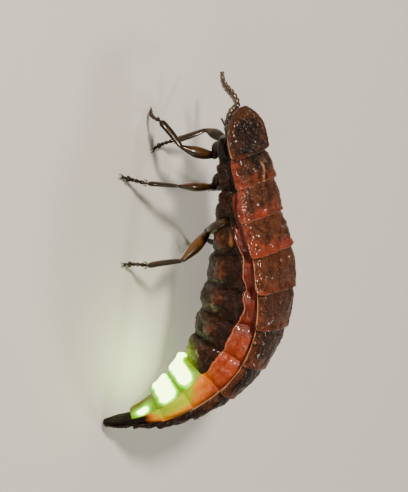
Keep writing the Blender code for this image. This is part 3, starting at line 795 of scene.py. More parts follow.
shine = start.add("FunctionNodeRandomValue", {"data_type": "FLOAT"},
                  {"Min": given["Dullest"], "Max": 1.0, "Seed": SHINE_SEED})
beads = start.add("GeometryNodeStoreNamedAttribute", {"data_type": "FLOAT", "domain": "INSTANCE"},
                  {"Geometry": beads, "Name": "bead", "Value": shine})
beads = start.add("GeometryNodeRealizeInstances", {}, {"Geometry": beads})
both = start.add("GeometryNodeJoinGeometry", {}, {"Geometry": beads})
grained.links.new(start.socket, both.socket.node.inputs[0])
closed_tree(grained, both, given["Finish"])


def joined(parts):
    """Points, faces and marks of several closed pieces as one."""
    points = []
    faces = []
    marks = []
    count = 0
    for piece_points, piece_faces, piece_marks in parts:
        points.append(piece_points)
        faces += [tuple(i + count for i in face) for face in piece_faces]
        marks.append(piece_marks)
        count += len(piece_points)
    return np.concatenate(points), faces, np.concatenate(marks)


def glossy_bead(centre, radius):
    """Closed round bead as points, faces and the marks of a pale pink spot."""
    turn = np.linspace(0, 2 * np.pi, BEAD_SIDES, endpoint=False)
    rings = [np.stack((math.cos(lift) * np.cos(turn), math.cos(lift) * np.sin(turn),
                       np.full(BEAD_SIDES, math.sin(lift))), -1) for lift in np.radians(BEAD_LATITUDES)]
    points, faces = closed_loft(centre + radius * np.stack(rings))
    return points, faces, np.tile(BEAD_MARKS, (len(points), 1))


def corner_cut(to_side):
    """How far a plate's hind margin runs forward near its sides, so that its corners are round."""
    return CORNER_ROUND * (1 - np.sqrt(1 - np.clip(1 - to_side / CORNER_ROUND, 0, 1) ** 2))


def inside_corner(to_side, to_end):
    """Distance to the rounded outline of a plate at one of its ends."""
    over = np.hypot(np.clip(CORNER_ROUND - to_side, 0, None), np.clip(CORNER_ROUND - to_end, 0, None))
    return np.where((to_side < CORNER_ROUND) & (to_end < CORNER_ROUND), np.clip(CORNER_ROUND - over, 0, None),
                    np.minimum(to_side, to_end))


def write_field(mesh, key, values):
    """Gives each vertex a number, with 0 for the vertices past the end of the values."""
    padded = np.zeros(len(mesh.vertices))
    padded[:values.size] = values.ravel()
    mesh.attributes.new(key, "FLOAT", "POINT").data.foreach_set("value", padded)


def granular_plate(name, shell, marks, beads, sowings, seed, slot, *nodes, **fields):
    """Mounts a shell with its pink beads, and with grains strewn where its grain field is above 0."""
    mesh = finished_mesh(name, *joined([(*shell, shell_marks(marks)), *beads]))
    shiny = np.zeros(len(mesh.vertices))
    shiny[len(shiny) - sum(len(bead[0]) for bead in beads):] = 1.0
    for key, field in {**fields, "bead": shiny}.items():
        write_field(mesh, key, field)
    for round_number, (spacing, radius, dullest) in enumerate(sowings):
        mesh = grown(name, bpy.data.objects.new(name, mesh), grained, grained_keys, {
            "Spacing": spacing * MM, "Size": radius * MM, "Dullest": dullest,
            "Seed": seed + COARSE_SEED * round_number, "Finish": plate_finish.material})
    mounted(name, mesh, plate_finish.material, slot, *nodes)


for number, (name, start, end, side_rose, rear_rose, darkness) in enumerate(BACK_PLATES):
    first = number == 0
    length = end - start
    tucked = FIRST_TUCK if first else PLATE_TUCK
    reach = length + PLATE_LAP + tucked
    width = float(girth((start + end) / 2)[0])
    arc = PLATE_ARC * width
    along, over = sheet_grid(44, reach, max(30, int(150 * width / FULLEST_HALF)), arc)
    around = (over * 2 - 1) * MARGIN_TURN
    lumpy = 1.6 if start < 7.0 else 1.0

    # Outline: rounded corners, and a scalloped hind margin that flares over the next plate
    to_side = np.minimum(over, 1 - over) * arc
    hind_cut = corner_cut(to_side)
    front_cut = 0.9 * hind_cut if first else 0.0
    scallop = 0.04 * swell_noise(around * 0.5, 0 * around, 0.22, 220 + number) * ease(to_side, 0.2, 0.6)
    scallop *= 1 + 1.5 * ease(start, 14.0, 17.5)
    full = reach - hind_cut + scallop - front_cut
    station = start - tucked + front_cut + along * full
    behind = station - start
    flare = 0.945 + 0.065 * ease(behind / length, -0.05, 1.0)
    flare += 0.016 * swell_noise(station, np.sign(around), 0.40, 240 + number)
    if first:
        flare = flare * (1 - 0.07 * fade(behind, -0.1, 1.1) * ease(np.abs(around), 1.5, 4.0))
    to_rear = (1 - along) * full
    to_front = along * full
    to_rim = np.minimum(inside_corner(to_side, to_rear + hind_cut), np.minimum(to_front, to_rear))
    if first:
        to_rim = np.minimum(to_rim, inside_corner(to_side, to_front + hind_cut))

    # Relief: dents, a groove before the hind margin, a keel along the middle and a boss in front
    crosswise = around * 0.45
    dents = rough(station, crosswise, (0.050, 0.75, 20 + number), (lumpy * 0.036, 0.26, 60 + number),
                  (0.012, 0.13, 80 + number))
    groove = -0.045 * mound((to_rear, 0.34, 0.13))
    thick_keel = fade(start, 4.0, 7.0)
    keel_line = around + 0.10 + 0.35 * ease(station, 3.9, 4.5)
    keel_line = keel_line - 0.12 * swell_noise(station, 0 * around, 0.5, 70)
    keel = mound((keel_line, 0.0, 0.13 + 0.03 * thick_keel))
    keel *= ease(behind, 0.3, 0.9) * (1 - 0.6 * ease(start, 3.5, 4.4)) * (1 - 0.6 * ease(start, 5.5, 8.2))
    boss = mound((around, 0.45, 0.55), (behind, 0.62, 0.30)) * first
    out = -0.09 + 0.09 * ease(behind, 0.10, 0.55) + 0.05 * ease(behind / length, 0.6, 1.05)
    out = out + (dents + groove + (0.06 + 0.05 * thick_keel) * keel + 0.15 * boss) * ease(to_rim, 0.05, 0.3)
    sheet = plate_point(station, around, out, flare)
    sheet[..., 2] = np.maximum(sheet[..., 2], PLATE_CLEARANCE)

    # Colour and grain: ragged rosy bands, pale edges, a dark middle and stripes beside the keel
    lobes = rough(station, crosswise, (0.34, 0.62, 90 + number), (0.16, 0.24, 130 + number))
    side_band = 1 - np.clip((to_side + lobes * 0.7 - 0.20) / (1.25 * width / 2.3), 0, 1)
    rear_band = 1 - np.clip((to_rear + lobes * 0.9 - 0.06) / 0.80, 0, 1)
    rosy_map = np.clip(side_rose * side_band + rear_rose * rear_band, 0, 1)
    pale_map = (1.0 + 0.4 * lobes) * fade(to_rim, 0.03, 0.085) * (1 - 0.45 * (to_rear < to_side - 0.3))
    side_margin = (0.85 + 0.5 * lobes) * fade(to_side, 0.09, 0.18) * ease(station, 7.0, 9.0)
    pale_map = np.maximum(pale_map, side_margin)
    pale_map += 0.30 * mound((to_rear, 0.30, 0.06)) * ease(lobes, -0.05, 0.25) + 0.75 * keel
    pale_map *= 1 - 0.75 * ease(station, 17.5, 20.5)
    stripe = mound((np.abs(keel_line), 0.52, 0.24)) * fade(start, 3.5, 5.5) * (1 + 0.6 * lobes)
    dark_map = darkness * np.maximum(ease(to_side, 0.3, 1.1) * ease(to_rear, 0.2, 0.8),
                                     ease(station, 16.0, 19.5))
    dark_map = dark_map + 1.3 * stripe * (1 - boss)
    marks = np.stack((rosy_map, np.clip(pale_map + 0.55 * boss, 0, 1), dark_map), -1)
    grain = np.where(behind > 0.05, 0.55 + 0.55 * swell_noise(station, around, 0.4, 7), 0.0)
    grain = np.clip(grain, 0, 1) * ease(to_rim, 0.02, 0.10)
    beads = [glossy_bead(plate_point(bead_station, side * bead_turn, 0.06, 1.0), radius)
             for bead_station, bead_turn, radius in PLATE_BEADS.get(name, ()) for side in (-1.0, 1.0)]
    granular_plate(name, shell_of(sheet, PLATE_THICKNESS, PLATE_RIM_HEIGHT, to_rim), marks, beads,
                   PLATE_GRAINS, number, "rosy_plate" if side_rose > 0.5 else "dark_plate",
                   grain=grain, wet=np.full_like(grain, (lumpy - 1) * 0.6))


# Shield over the head
# The first back plate is a half-oval shield that hides the head. Its margins are thin, flat
# and tan, and a dark domed patch lies over the middle.
SHIELD_ENDS = (-0.15, 2.76)
SHIELD_HALF_WIDTH = 1.98
SHIELD_THICKNESS = 0.15
SHIELD_RIM_HEIGHT = 0.035
SHIELD_GRAINS = ((0.12, 0.034, 0.1), (0.36, 0.040, 0.6))
SHIELD_SEED = 31
SHIELD_WETNESS = 0.15
# Rows and length in mm, columns and width in mm
SHIELD_GRID = (80, 2.9, 110, 3.9)
# Station, across, up and radius of the beads, the same on both sides
SHIELD_BEADS = ((0.55, 1.10, 0.91, 0.05), (1.0, 0.62, 1.11, 0.05), (1.35, 1.42, 0.84, 0.06),
                (2.05, 0.85, 1.16, 0.06))

# Outline: a half oval with round hind corners
along, over = sheet_grid(*SHIELD_GRID)
side = over * 2 - 1
arch = np.sin(np.minimum((along * 0.985 + 0.006) / 0.56, 1.0) * np.pi / 2) ** 0.62
half = SHIELD_HALF_WIDTH * arch * (0.95 + 0.05 * along)
across = half * side
to_side = np.minimum(over, 1 - over) * 2 * half
full = SHIELD_ENDS[1] - SHIELD_ENDS[0] - corner_cut(np.minimum(over, 1 - over) * 2 * SHIELD_HALF_WIDTH)
to_rear = (1 - along) * full
to_front = along * full
to_rim = np.minimum(np.minimum(to_side, to_rear), to_front + 0.02)
station = SHIELD_ENDS[0] + along * full
station = station + drawn_back(across, 2.05) * along

# Relief: a domed middle with two swellings, a fine ridge, and hollows along the margins
raised = 0.17 * mound((across, 0.0, 0.80)) * ease(along, 0.30, 0.85) - 0.12 * mound((to_side, 0.42, 0.15))
raised += 0.08 * mound((np.abs(across), 0.80, 0.15)) * ease(along, 0.45, 0.85)
ridge = mound((across, 0.0, 0.07))
raised += ridge * (0.06 * ease(along, 0.55, 0.8) - 0.05 * fade(along, 0.45, 0.6))
raised -= 0.07 * mound((to_rear, 0.28, 0.10))
raised += rough(station, across, (0.055, 0.5, 401), (0.045, 0.19, 402))
raised += rough(station, across, (0.018, 0.09, 404))
dome = 0.42 * np.minimum(1.0, 0.35 + along) * (1 - np.abs(side) ** 2.2)
sheet = place(station, across, 0.45 + 0.35 * along + dome + raised * ease(to_rim, 0.03, 0.22))

# Colour: tan margins, pale edges and ridge, and a dark spot on a stained middle
ragged = swell_noise(station, across, 0.3, 403)
tan_map = fade(to_side + 0.25 * ragged, 0.15, 0.80) * (1 - 0.6 * ease(along, 0.45, 0.75))
tan_map = np.clip(tan_map + 0.8 * fade(to_front + 0.2 * ragged, 0.2, 0.8), 0, 1)
# Painted highlight: the side rims are paler over the rear half of the shield, on top of the pale edges it has
# all round
pale_map = fade(to_side, 0.01, 0.06) * (0.30 + 0.4 * ease(along, 0.5, 0.7))
pale_map = pale_map + 0.40 * ridge * ease(along, 0.6, 0.8) + fade(to_rear, 0.02, 0.08) * 0.3
spot = mound((across, -0.02, 0.42), (along, 0.50, 0.17)) * (1 + 0.3 * ragged)
stain = 1.20 + 0.60 * swell_noise(station, across, 0.45, 409)
rosy_map = 0.22 * tan_map + 0.35 * ease(along, 0.80, 1.0) * ease(np.abs(across), 0.6, 1.4)
dark_map = np.clip(spot * 1.7 + stain, 0, 2.2) * (1 - 0.30 * tan_map)
grain = np.clip(0.6 + 0.6 * swell_noise(station, across, 0.4, 407), 0, 1) * ease(to_rim, 0.02, 0.10)
beads = [glossy_bead(place(bead_station, bead_across * mirror, bead_up), radius)
         for bead_station, bead_across, bead_up, radius in SHIELD_BEADS for mirror in (-1.0, 1.0)]
granular_plate("shield", shell_of(sheet, SHIELD_THICKNESS, SHIELD_RIM_HEIGHT, to_rim),
               np.stack((rosy_map, np.clip(pale_map, 0, 1), dark_map), -1), beads,
               SHIELD_GRAINS, SHIELD_SEED, "dark_plate", "pronotum",
               grain=grain, tan=tan_map, wet=np.full_like(grain, SHIELD_WETNESS))


# Belly plates
# Brown plates wrap the belly from one pale rim to the other, lapping towards the tail. They
# are thinner and glossier than those of the back, with paler blotches. Two of them are the
# lanterns: lit windows of cream and green, with ragged edges.
BELLY_PLATES = (
    ("belly_plate_1", 6.40, 8.50),
    ("belly_plate_2", 8.50, 10.70),
    ("belly_plate_3", 10.70, 12.85),
    ("belly_plate_4", 12.85, 15.00),
    ("belly_plate_5", 15.00, 17.05),
    ("lantern_1", 17.05, 18.90),
    ("lantern_2", 18.90, 20.65),
    ("belly_plate_8", 20.65, 22.30),
)
BELLY_THICKNESS = 0.09
BELLY_RIM = 0.06
BELLY_RIM_HEIGHT = 0.02
BELLY_MARGIN = 0.10
BELLY_TUCK = 0.22
BELLY_LAP = 0.10
BELLY_ARC = 3.6
# Front and rear of each lit window, and how steeply its upper edge rises
LANTERN_WINDOWS = {"lantern_1": (17.50, 18.90, 0.55), "lantern_2": (19.10, 20.64, 0.50)}
LANTERN_TOP = 8.2
LANTERN_CORNER = 0.55
LANTERN_BULGE = 0.26
HIDE_BLACK = (0.0050, 0.0016, 0.0005)
HIDE_BROWN = (0.0330, 0.0085, 0.0022)
HIDE_RUST = (0.1500, 0.0370, 0.0105)
HIDE_EDGE = (0.0850, 0.0250, 0.0075)
HIDE_OCHRE = (0.2300, 0.0820, 0.0210)
# Painted lantern light on the belly plates: their lit colour and the glow they are given
HIDE_LIT = (0.1400, 0.1700, 0.0)
HIDE_LIGHT = (0.030, 0.070, 0.0)
LANTERN_GREEN = (0.150, 0.300, 0.0)
LANTERN_CREAM = (0.260, 0.460, 0.0)
LANTERN_OLIVE = (0.095, 0.090, 0.0030)
LIGHT_FAINT = (0.0016, 0.0080, 0.0)
LIGHT_DIM = (0.0110, 0.0720, 0.0)
LIGHT_BRIGHT = (0.070, 0.280, 0.0010)
LIGHT_FULL = (0.740, 1.0, 0.330)

belly_finish = Finish("brown_belly", IOR=1.48, Emission_Strength=1.0, Specular_IOR_Level=0.12,
                      Coat_Roughness=0.10)
blotch_mark, pale_mark, ochre_mark = belly_finish.marks()
lit_mark = belly_finish.mark("lit")
mottle = belly_finish.place.noise(1.5, 5.0, 0.65)
patch = belly_finish.place.noise(0.9, 3.0)
knot = belly_finish.place.noise(3.4, 4.0, 0.6)
fine = belly_finish.place.noise(13.0, 3.0)
grains = belly_finish.place.cells(8.0)
hide = (mottle * 0.8 + fine * 0.25).ramp(0.34, 0.75).tint(HIDE_BLACK, HIDE_BROWN)
hide = (blotch_mark * 0.9 + knot * 1.3 + patch * 0.4 - 1.15).ramp(0.10, 1.00).tint(hide, HIDE_RUST)
hide = (pale_mark + fine * 0.3 - 0.2).ramp(0.3, 0.9).tint(hide, HIDE_EDGE)
hide = (ochre_mark + knot * 0.6 - 0.3).ramp(0.2, 0.9).tint(hide, HIDE_OCHRE)
# Painted lantern light: near the lanterns the plates are painted yellow-green and made to glow green
hide = (lit_mark + knot * 0.6 - 0.3).ramp(0.1, 1.0).tint(hide, HIDE_LIT)
belly_finish.join(Base_Color=hide, Roughness=0.36 + fine * 0.2,
                  Coat_Weight=(knot + fine * 0.4).ramp(0.60, 0.95) * 0.6,
                  Emission_Color=lit_mark.ramp(0.2, 1.0).tint(UNLIT, HIDE_LIGHT),
                  Normal=((1 - grains) * 0.7 + fine * 0.6 + knot * 0.8).bump(0.9, 0.06))

lantern_finish = Finish("lantern", Roughness=0.42, Specular_IOR_Level=0.3, Subsurface_Weight=0.15,
                        Subsurface_Scale=0.0005, Emission_Strength=9.0)
glow_mark, edge_mark, olive_mark = lantern_finish.marks()
ragged = lantern_finish.place.noise(2.6, 4.0)
lobule = lantern_finish.place.cells(7.0)
window = glow_mark + ragged * 0.26 - 0.13
cream = (ragged * 0.8 + lobule * 0.3).ramp(0.3, 0.9).tint(LANTERN_GREEN, LANTERN_CREAM)
cream = (olive_mark + ragged * 0.5 - 0.25).ramp(0.4, 1.1).tint(cream, LANTERN_OLIVE)
light = (window + edge_mark * 0.25).ramp(0.0, 0.30).tint(UNLIT, LIGHT_FAINT)
light = window.ramp(0.10, 0.46).tint(light, LIGHT_DIM)
light = window.ramp(0.44, 0.62).tint(light, LIGHT_BRIGHT)
light = window.ramp(0.62, 0.80).tint(light, LIGHT_FULL)
lantern_finish.join(Base_Color=cream, Emission_Color=light, Normal=(lobule * 0.6 + ragged).bump(0.35, 0.03))


def lantern_inside(station, turned, front, rear, slope):
    """How far inside a lantern's rounded window a place is, from its front, rear and upper edge."""
    walls = (station - front, rear - station, (turned - LANTERN_TOP) * slope)
    over = [np.clip(LANTERN_CORNER - wall, 0, None) for wall in walls]
    return LANTERN_CORNER - np.sqrt(sum(part ** 2 for part in over))


for number, (name, start, end) in enumerate(BELLY_PLATES):
    length = end - start
    reach = length + BELLY_LAP + BELLY_TUCK
    width = float(girth((start + end) / 2)[0])
    arc = BELLY_ARC * width
    along, over = sheet_grid(40, reach, max(40, int(130 * width / FULLEST_HALF)), arc)
    station = start - BELLY_TUCK + along * reach
    behind = station - start
    margin = rim_turn(station) + BELLY_MARGIN
    around = margin + (KEEL_TURN - margin) * (1 - np.abs(over * 2 - 1))
    around = np.where(over < 0.5, -around, around)
    around = np.where(np.abs(over - 0.5) < 1e-9, KEEL_TURN, around)
    turned = np.abs(around)
    crosswise = np.where(around > 0, around, 2 * KEEL_TURN + around)
    to_side = np.minimum(over, 1 - over) * arc
    to_rear = (1 - along) * reach
    to_rim = np.minimum(np.minimum(to_side, to_rear), along * reach)

    # Relief, with an ochre lump on the first plate
    phase = segment_phase(np.clip(station, start + 1e-3, end - 1e-3))
    dents = rough(station, crosswise * 0.5, (0.075, 0.6, 120 + number), (0.025, 0.2, 160 + number))
    slant = 0.3 * (station - 7.5)
    ochre = mound((station, 7.48, 0.44), (turned - 8.25 - slant, 0.0, 0.20))
    ochre += 0.45 * mound((station, 7.30, 0.34), (turned - 8.85 - slant, 0.0, 0.14))
    ochre *= number == 0
    out = -0.05 + 0.06 * ease(behind, 0.08, 0.4) + 0.06 * ease(behind / length, 0.6, 1.05)
    out = out + (dents + 0.14 * ochre) * ease(to_rim, 0.04, 0.3) + belly_swell(station, turned)

    # Colour: a lit window, the small spots behind the lanterns, or blotches
    material, slot = lantern_finish.material, "dark_plate"
    glowing = np.zeros_like(out)
    if name in LANTERN_WINDOWS:
        front, rear, slope = LANTERN_WINDOWS[name]
        if name == "lantern_1":
            front = front - 0.05 * np.clip(turned - 8.8, 0, 1.5) - 0.55 * ease(turned, 10.2, 11.0)
        inside = lantern_inside(station, turned, front, rear, slope)
        inside = inside + 0.05 * swell_noise(station, crosswise, 0.3, 180 + number)
        glowing = ease(inside, -0.22, 0.42)
        marks = np.stack((glowing, np.ones_like(inside), fade(inside, -0.9, 0.0)), -1)
        slot = "lantern"
    elif name == "belly_plate_8":
        spots = 1.15 * mound((turned, 9.7, 1.35), (station, 21.66, 0.52))
        halo = mound((turned, 9.6, 2.2), (station, 21.5, 0.9))
        marks = np.stack((np.clip(spots, 0, 1), halo, np.clip(1.1 - halo, 0, 1)), -1)
    else:
        blotches = mound((turned, 9.4, 0.95)) * np.sin(np.pi * phase) ** 0.5
        blotches = blotches * (0.85 + 0.25 * swell_noise(station, crosswise, 0.5, 5))
        pale_map = fade(to_side, 0.04, 0.12) * 0.3 + fade(to_rear, 0.05, 0.14) * 0.4
        marks = np.stack((blotches, np.clip(pale_map, 0, 1), ochre), -1)
        material = belly_finish.material
    sheet = trunk_point(station, around, out + LANTERN_BULGE * glowing, 0.98,
                        0.91 + 0.08 * np.sin(np.pi * phase) ** 0.6)
    points, faces = shell_of(sheet, BELLY_THICKNESS, BELLY_RIM_HEIGHT, to_rim, BELLY_RIM)
    mesh = finished_mesh(name, points, faces, shell_marks(marks))
    # The lit field is the painted lantern light on this plate
    write_field(mesh, "lit", shell_marks(np.repeat(glow_near(sheet, 1.3)[..., None], 3, -1))[:, 0])
    mounted(name, mesh, material, slot)


# Side plates of the thorax
# Four hard brown plates on each flank carry the legs: two over the middle pair and two over
# the hind pair. They are oval, slightly domed and set in the soft skin.
SIDES = ((-1.0, "left"), (1.0, "right"))
# Name, the stations of its ends, the turns of its upper and lower edge, and its slant
SIDE_PLATES = (
    ("side_plate_front", 2.86, 3.66, 6.9, 9.6, 0.10),
    ("side_plate_middle", 3.62, 4.38, 7.0, 10.0, 0.13),
    ("side_plate_rear", 4.62, 5.50, 7.2, 9.8, 0.12),
    ("side_plate_hind", 5.44, 6.34, 7.4, 10.2, 0.14),
)
SIDE_PLATE_RINGS = 26
SIDE_PLATE_TURNS = 72
SQUARENESS = 2.8
DOME_HEIGHT = 0.10
CREASE_DEPTH = 0.05

radial = np.linspace(0.0, 1.0, SIDE_PLATE_RINGS)
turn = np.linspace(0.0, 2 * np.pi, SIDE_PLATE_TURNS + 1)[:-1]
outward, turned = np.meshgrid(radial, turn, indexing="ij")
corner = 1 / (np.abs(np.cos(turned)) ** SQUARENESS + np.abs(np.sin(turned)) ** SQUARENESS) ** (1 / SQUARENESS)
along = outward * np.cos(turned) * corner
down = outward * np.sin(turned) * corner
rim = np.concatenate(((0.0,), np.repeat(radial[1:], len(turn)), np.ones(len(turn)), (1.0,)))
marks = np.stack((np.zeros_like(rim), 0.5 * ease(rim, 0.86, 0.97), np.zeros_like(rim)), -1)
for number, (name, start, end, top, foot, slant) in enumerate(SIDE_PLATES):
    for side, side_name in SIDES:
        station = (start + end) / 2 + along * (end - start) / 2 + down * slant
        around = side * ((top + foot) / 2 + down * (foot - top) / 2)
        dome = DOME_HEIGHT * (1 - outward ** 2) ** 0.6
        dome = dome + 0.03 * swell_noise(station, around, 0.5, 300 + number)
        crease = -CREASE_DEPTH * mound((along, 0.15, 0.10)) * (1 - outward ** 4)
        face = trunk_point(station, around, np.where(outward < 0.999, dome + crease, -0.02), 0.97, 0.97)
        inner = trunk_point(station[-1], around[-1], -0.14, 0.97, 0.97)
        points, faces = closed_loft(np.stack([*face[1:], inner]))
        mounted(f"{name}_{side_name}", finished_mesh(f"{name}_{side_name}", points, faces, marks),
                belly_finish.material, "dark_plate")


# Legs
# Six slender jointed legs of olive-brown horn hang from the thorax. Each has a cone-shaped
# hip, a spindle thigh, a flat shin with two spurs, five foot joints and a pair of claws.
LEG_CLEARANCE = 0.012
# Where the thigh and the shin begin and end in mm from the centre, and where the claws stand
LEGS = {
    "front_left": ((3.05, -2.26, 4.09), (2.93, -4.00, 2.66), (1.62, -4.60, 1.30), (1.12, -4.05)),
    "middle_left": ((4.91, -1.78, 4.12), (5.28, -3.60, 2.76), (5.45, -4.60, 1.17), (5.34, -5.82)),
    "hind_left": ((7.59, -1.10, 3.91), (9.66, -3.20, 3.63), (10.29, -3.30, 1.40), (10.46, -3.89)),
    "front_right": ((2.05, -1.35, 4.00), (1.54, -0.98, 2.36), (2.50, -2.04, 1.05), (3.23, -2.86)),
    "middle_right": ((4.35, -0.35, 4.02), (4.80, 1.65, 3.20), (4.95, 2.65, 1.25), (4.75, 3.95)),
    "hind_right": ((7.20, 0.85, 3.88), (8.55, 3.35, 3.50), (8.15, 3.30, 1.35), (8.95, 4.00)),
}
# Station, turn and height of the places on the trunk that each pair's hips follow
HIP_ROOTS = {
    "front": ((2.20, 12.1, -0.15), (2.20, 12.1, 0.25)),
    "middle": ((3.85, 11.9, -0.15), (3.85, 11.9, 0.25)),
    "hind": ((6.46, 8.35, -0.12), (6.72, 9.3, 0.14), (6.98, 10.5, 0.16)),
}
THIGH_FLATNESS = {"front": 0.75, "middle": 0.75, "hind": 0.95}
THIGH_PALENESS = {"front": 0.45, "middle": 0.60, "hind": 0.95}
# Share of the length and half thickness of the parts of a leg
HIP = ((0.0, 0.26), (0.3, 0.36), (0.7, 0.31), (1.0, 0.18))
THIGH_RING = ((0.0, 0.20), (0.5, 0.26), (1.0, 0.20))
THIGH = ((0.0, 0.15), (0.12, 0.24), (0.35, 0.35), (0.6, 0.36), (0.85, 0.22), (1.0, 0.14))
SHIN = ((0.0, 0.12), (0.1, 0.17), (0.35, 0.22), (0.7, 0.24), (0.93, 0.22), (1.0, 0.16))
SPUR = ((0.0, 0.045), (0.6, 0.032), (1.0, 0.008))
FOOT_LOBE = ((0.0, 0.08), (0.6, 0.11), (1.0, 0.07))
CLAW = ((0.0, 0.06), (0.5, 0.045), (1.0, 0.010))
# Share of the foot's length and half thickness of its joints
FOOT_JOINTS = ((0.30, 0.115), (0.20, 0.115), (0.15, 0.12), (0.10, 0.15), (0.25, 0.08))
LOBED_JOINT = 3
SPUR_LENGTH = 0.30
CLAW_LENGTH = 0.30
SOLE_HEIGHT = 0.14
JOINT_STAIN = 0.22
LEG_DARK = (0.0130, 0.0064, 0.0014)
LEG_OLIVE = (0.0350, 0.0165, 0.0036)
LEG_TAN = (0.1200, 0.0500, 0.0095)
LEG_BLACK = (0.0060, 0.0036, 0.0012)
LEG_RUST = (0.140, 0.044, 0.0150)


def limb(stops, thickness, hinge, flat=0.8, rows=34, sides=22, marks=(0.0, 0.0, 0.0), ribs=0.0, keel=0.0):
    """Closed joint of a limb along smooth stops, flattened along the hinge that it bends about.
    Its marks say how pale, how dark and how red it is."""
    stops = np.array(stops, float)
    centre = smooth_table(np.column_stack((np.linspace(0, 1, len(stops)), stops)))
    share = (1 - np.cos(np.pi * np.linspace(0, 1, rows))) / 2
    middle = centre(share)
    heading = unit(np.gradient(middle, axis=0))
    deep = unit(np.cross(hinge, heading))
    broad = np.cross(heading, deep)
    length = np.linalg.norm(np.diff(middle, axis=0), axis=1).sum()
    radius = smooth_table(thickness)(share)[:, 0]
    to_end = np.minimum(share, 1 - share) * length
    radius = radius * np.sqrt(np.clip(1 - (1 - np.clip(to_end / (0.6 * radius), 0, 1)) ** 2, 0.02, 1))
    turn = np.linspace(0, 2 * np.pi, sides, endpoint=False)
    bulge = 1 + ribs * np.cos(turn * 5) + keel * mound((turn, np.pi, 0.35))
    spread = (radius[:, None] * bulge)[..., None]
    rings = (middle[:, None] + spread * (np.cos(turn)[None, :, None] * deep[:, None]
                                         + flat * np.sin(turn)[None, :, None] * broad[:, None]))
    rings[..., 2] = np.maximum(rings[..., 2], LEG_CLEARANCE)
    points, faces = closed_loft(rings)
    shares = np.concatenate(((0.0,), np.repeat(share, sides), (1.0,)))
    turns = np.concatenate(((0.0,), np.tile(turn, rows), (0.0,)))
    ends = np.clip(1 - np.minimum(shares, 1 - shares) * length / JOINT_STAIN, 0, 1)
    # Partly painted shade: each joint is darker at its two rims and paler in the middle, over the legs' own
    # dark margins
    edges = np.abs(np.cos(turns)) ** 3
    pale, dark, red = marks
    return points, faces, np.stack((pale * (1 - 0.7 * edges) * (1 - 0.5 * ends),
                                    dark + 0.45 * edges + 0.3 * ends, red * ends), -1)


def bowed(start, end, bow, count=5):
    """Stops from start to end, bowed in the middle."""
    start, end, bow = (np.array(point, float) for point in (start, end, bow))
    share = np.linspace(0, 1, count)[:, None]
    return start + (end - start) * share + bow * 4 * share * (1 - share)


def foot_parts(ankle, foot, hinge):
    """Two spurs at the end of the shin, five foot joints of which one has lobes, and two claws."""
    toe = unit((foot - ankle) * (1.0, 1.0, 0.0))
    across = np.cross(toe, (0.0, 0.0, 1.0))
    parts = []
    for hand in (-1.0, 1.0):
        spur = ankle + across * 0.12 * hand
        tip = spur + unit(foot - ankle + across * hand * 0.7) * SPUR_LENGTH
        parts.append(limb(bowed(spur, tip, (0, 0, 0), 3), SPUR, hinge, 1.0, 9, 8, (0.5, 0.0, 0.0)))
    sole = foot - toe * 0.02 + (0.0, 0.0, SOLE_HEIGHT)
    track = bowed(ankle, sole, -toe * 0.10 + np.array((0.0, 0.0, -0.08)), 6)
    walk = smooth_table(np.column_stack((np.linspace(0, 1, 6), track)))
    begin = 0.0
    for joint, (long, thick) in enumerate(FOOT_JOINTS):
        ends = [walk(begin + long * part) for part in (-0.12, 0.5, 1.02)]
        shape = ((0.0, thick * 0.55), (0.35, thick * 0.75), (0.85, thick), (1.0, thick * 0.85))
        parts.append(limb(ends, shape, across, 1.15, 16, 14, (0.30, 0.15, 0.3)))
        begin += long
        if joint == LOBED_JOINT:
            for hand in (-1.0, 1.0):
                lobe_end = ends[2] + across * hand * 0.16 + toe * 0.12 - (0, 0, 0.04)
                parts.append(limb(bowed(ends[1], lobe_end, (0, 0, -0.02), 3), FOOT_LOBE, across, 0.9, 12, 12,
                                  (0.5, 0.0, 0.2)))
    for hand in (-1.0, 1.0):
        out = across * hand
        hook = [sole - (0, 0, 0.02), sole + toe * CLAW_LENGTH * 0.55 + out * 0.10 + (0, 0, 0.03),
                foot + toe * CLAW_LENGTH + out * 0.13 + (0, 0, 0.012)]
        parts.append(limb(hook, CLAW, across, 0.8, 14, 10, (0.1, 0.5, 0.0)))
    return parts


leg_finish = Finish("leg_horn", IOR=1.5, Specular_IOR_Level=0.16, Coat_Roughness=0.10)
pale_mark, dark_mark, red_mark = leg_finish.marks()
stain = leg_finish.place.noise(2.6, 4.0)
fine = leg_finish.place.noise(16.0, 2.0)
pits = leg_finish.place.cells(14.0)
shell = (stain * 0.8 + fine * 0.25).ramp(0.35, 0.8).tint(LEG_DARK, LEG_OLIVE)
shell = (pale_mark + stain * 0.6 - 0.30).ramp(0.15, 0.95).tint(shell, LEG_TAN)
shell = (dark_mark + stain * 0.4 - 0.20).ramp(0.30, 0.95).tint(shell, LEG_BLACK)
shell = red_mark.ramp(0.3, 1.0).tint(shell, LEG_RUST)
leg_finish.join(Base_Color=shell, Roughness=0.24 + fine * 0.2, Coat_Weight=0.25 + stain * 0.3,
                Normal=((1 - pits) * 0.6 + fine * 0.4).bump(0.45, 0.02))

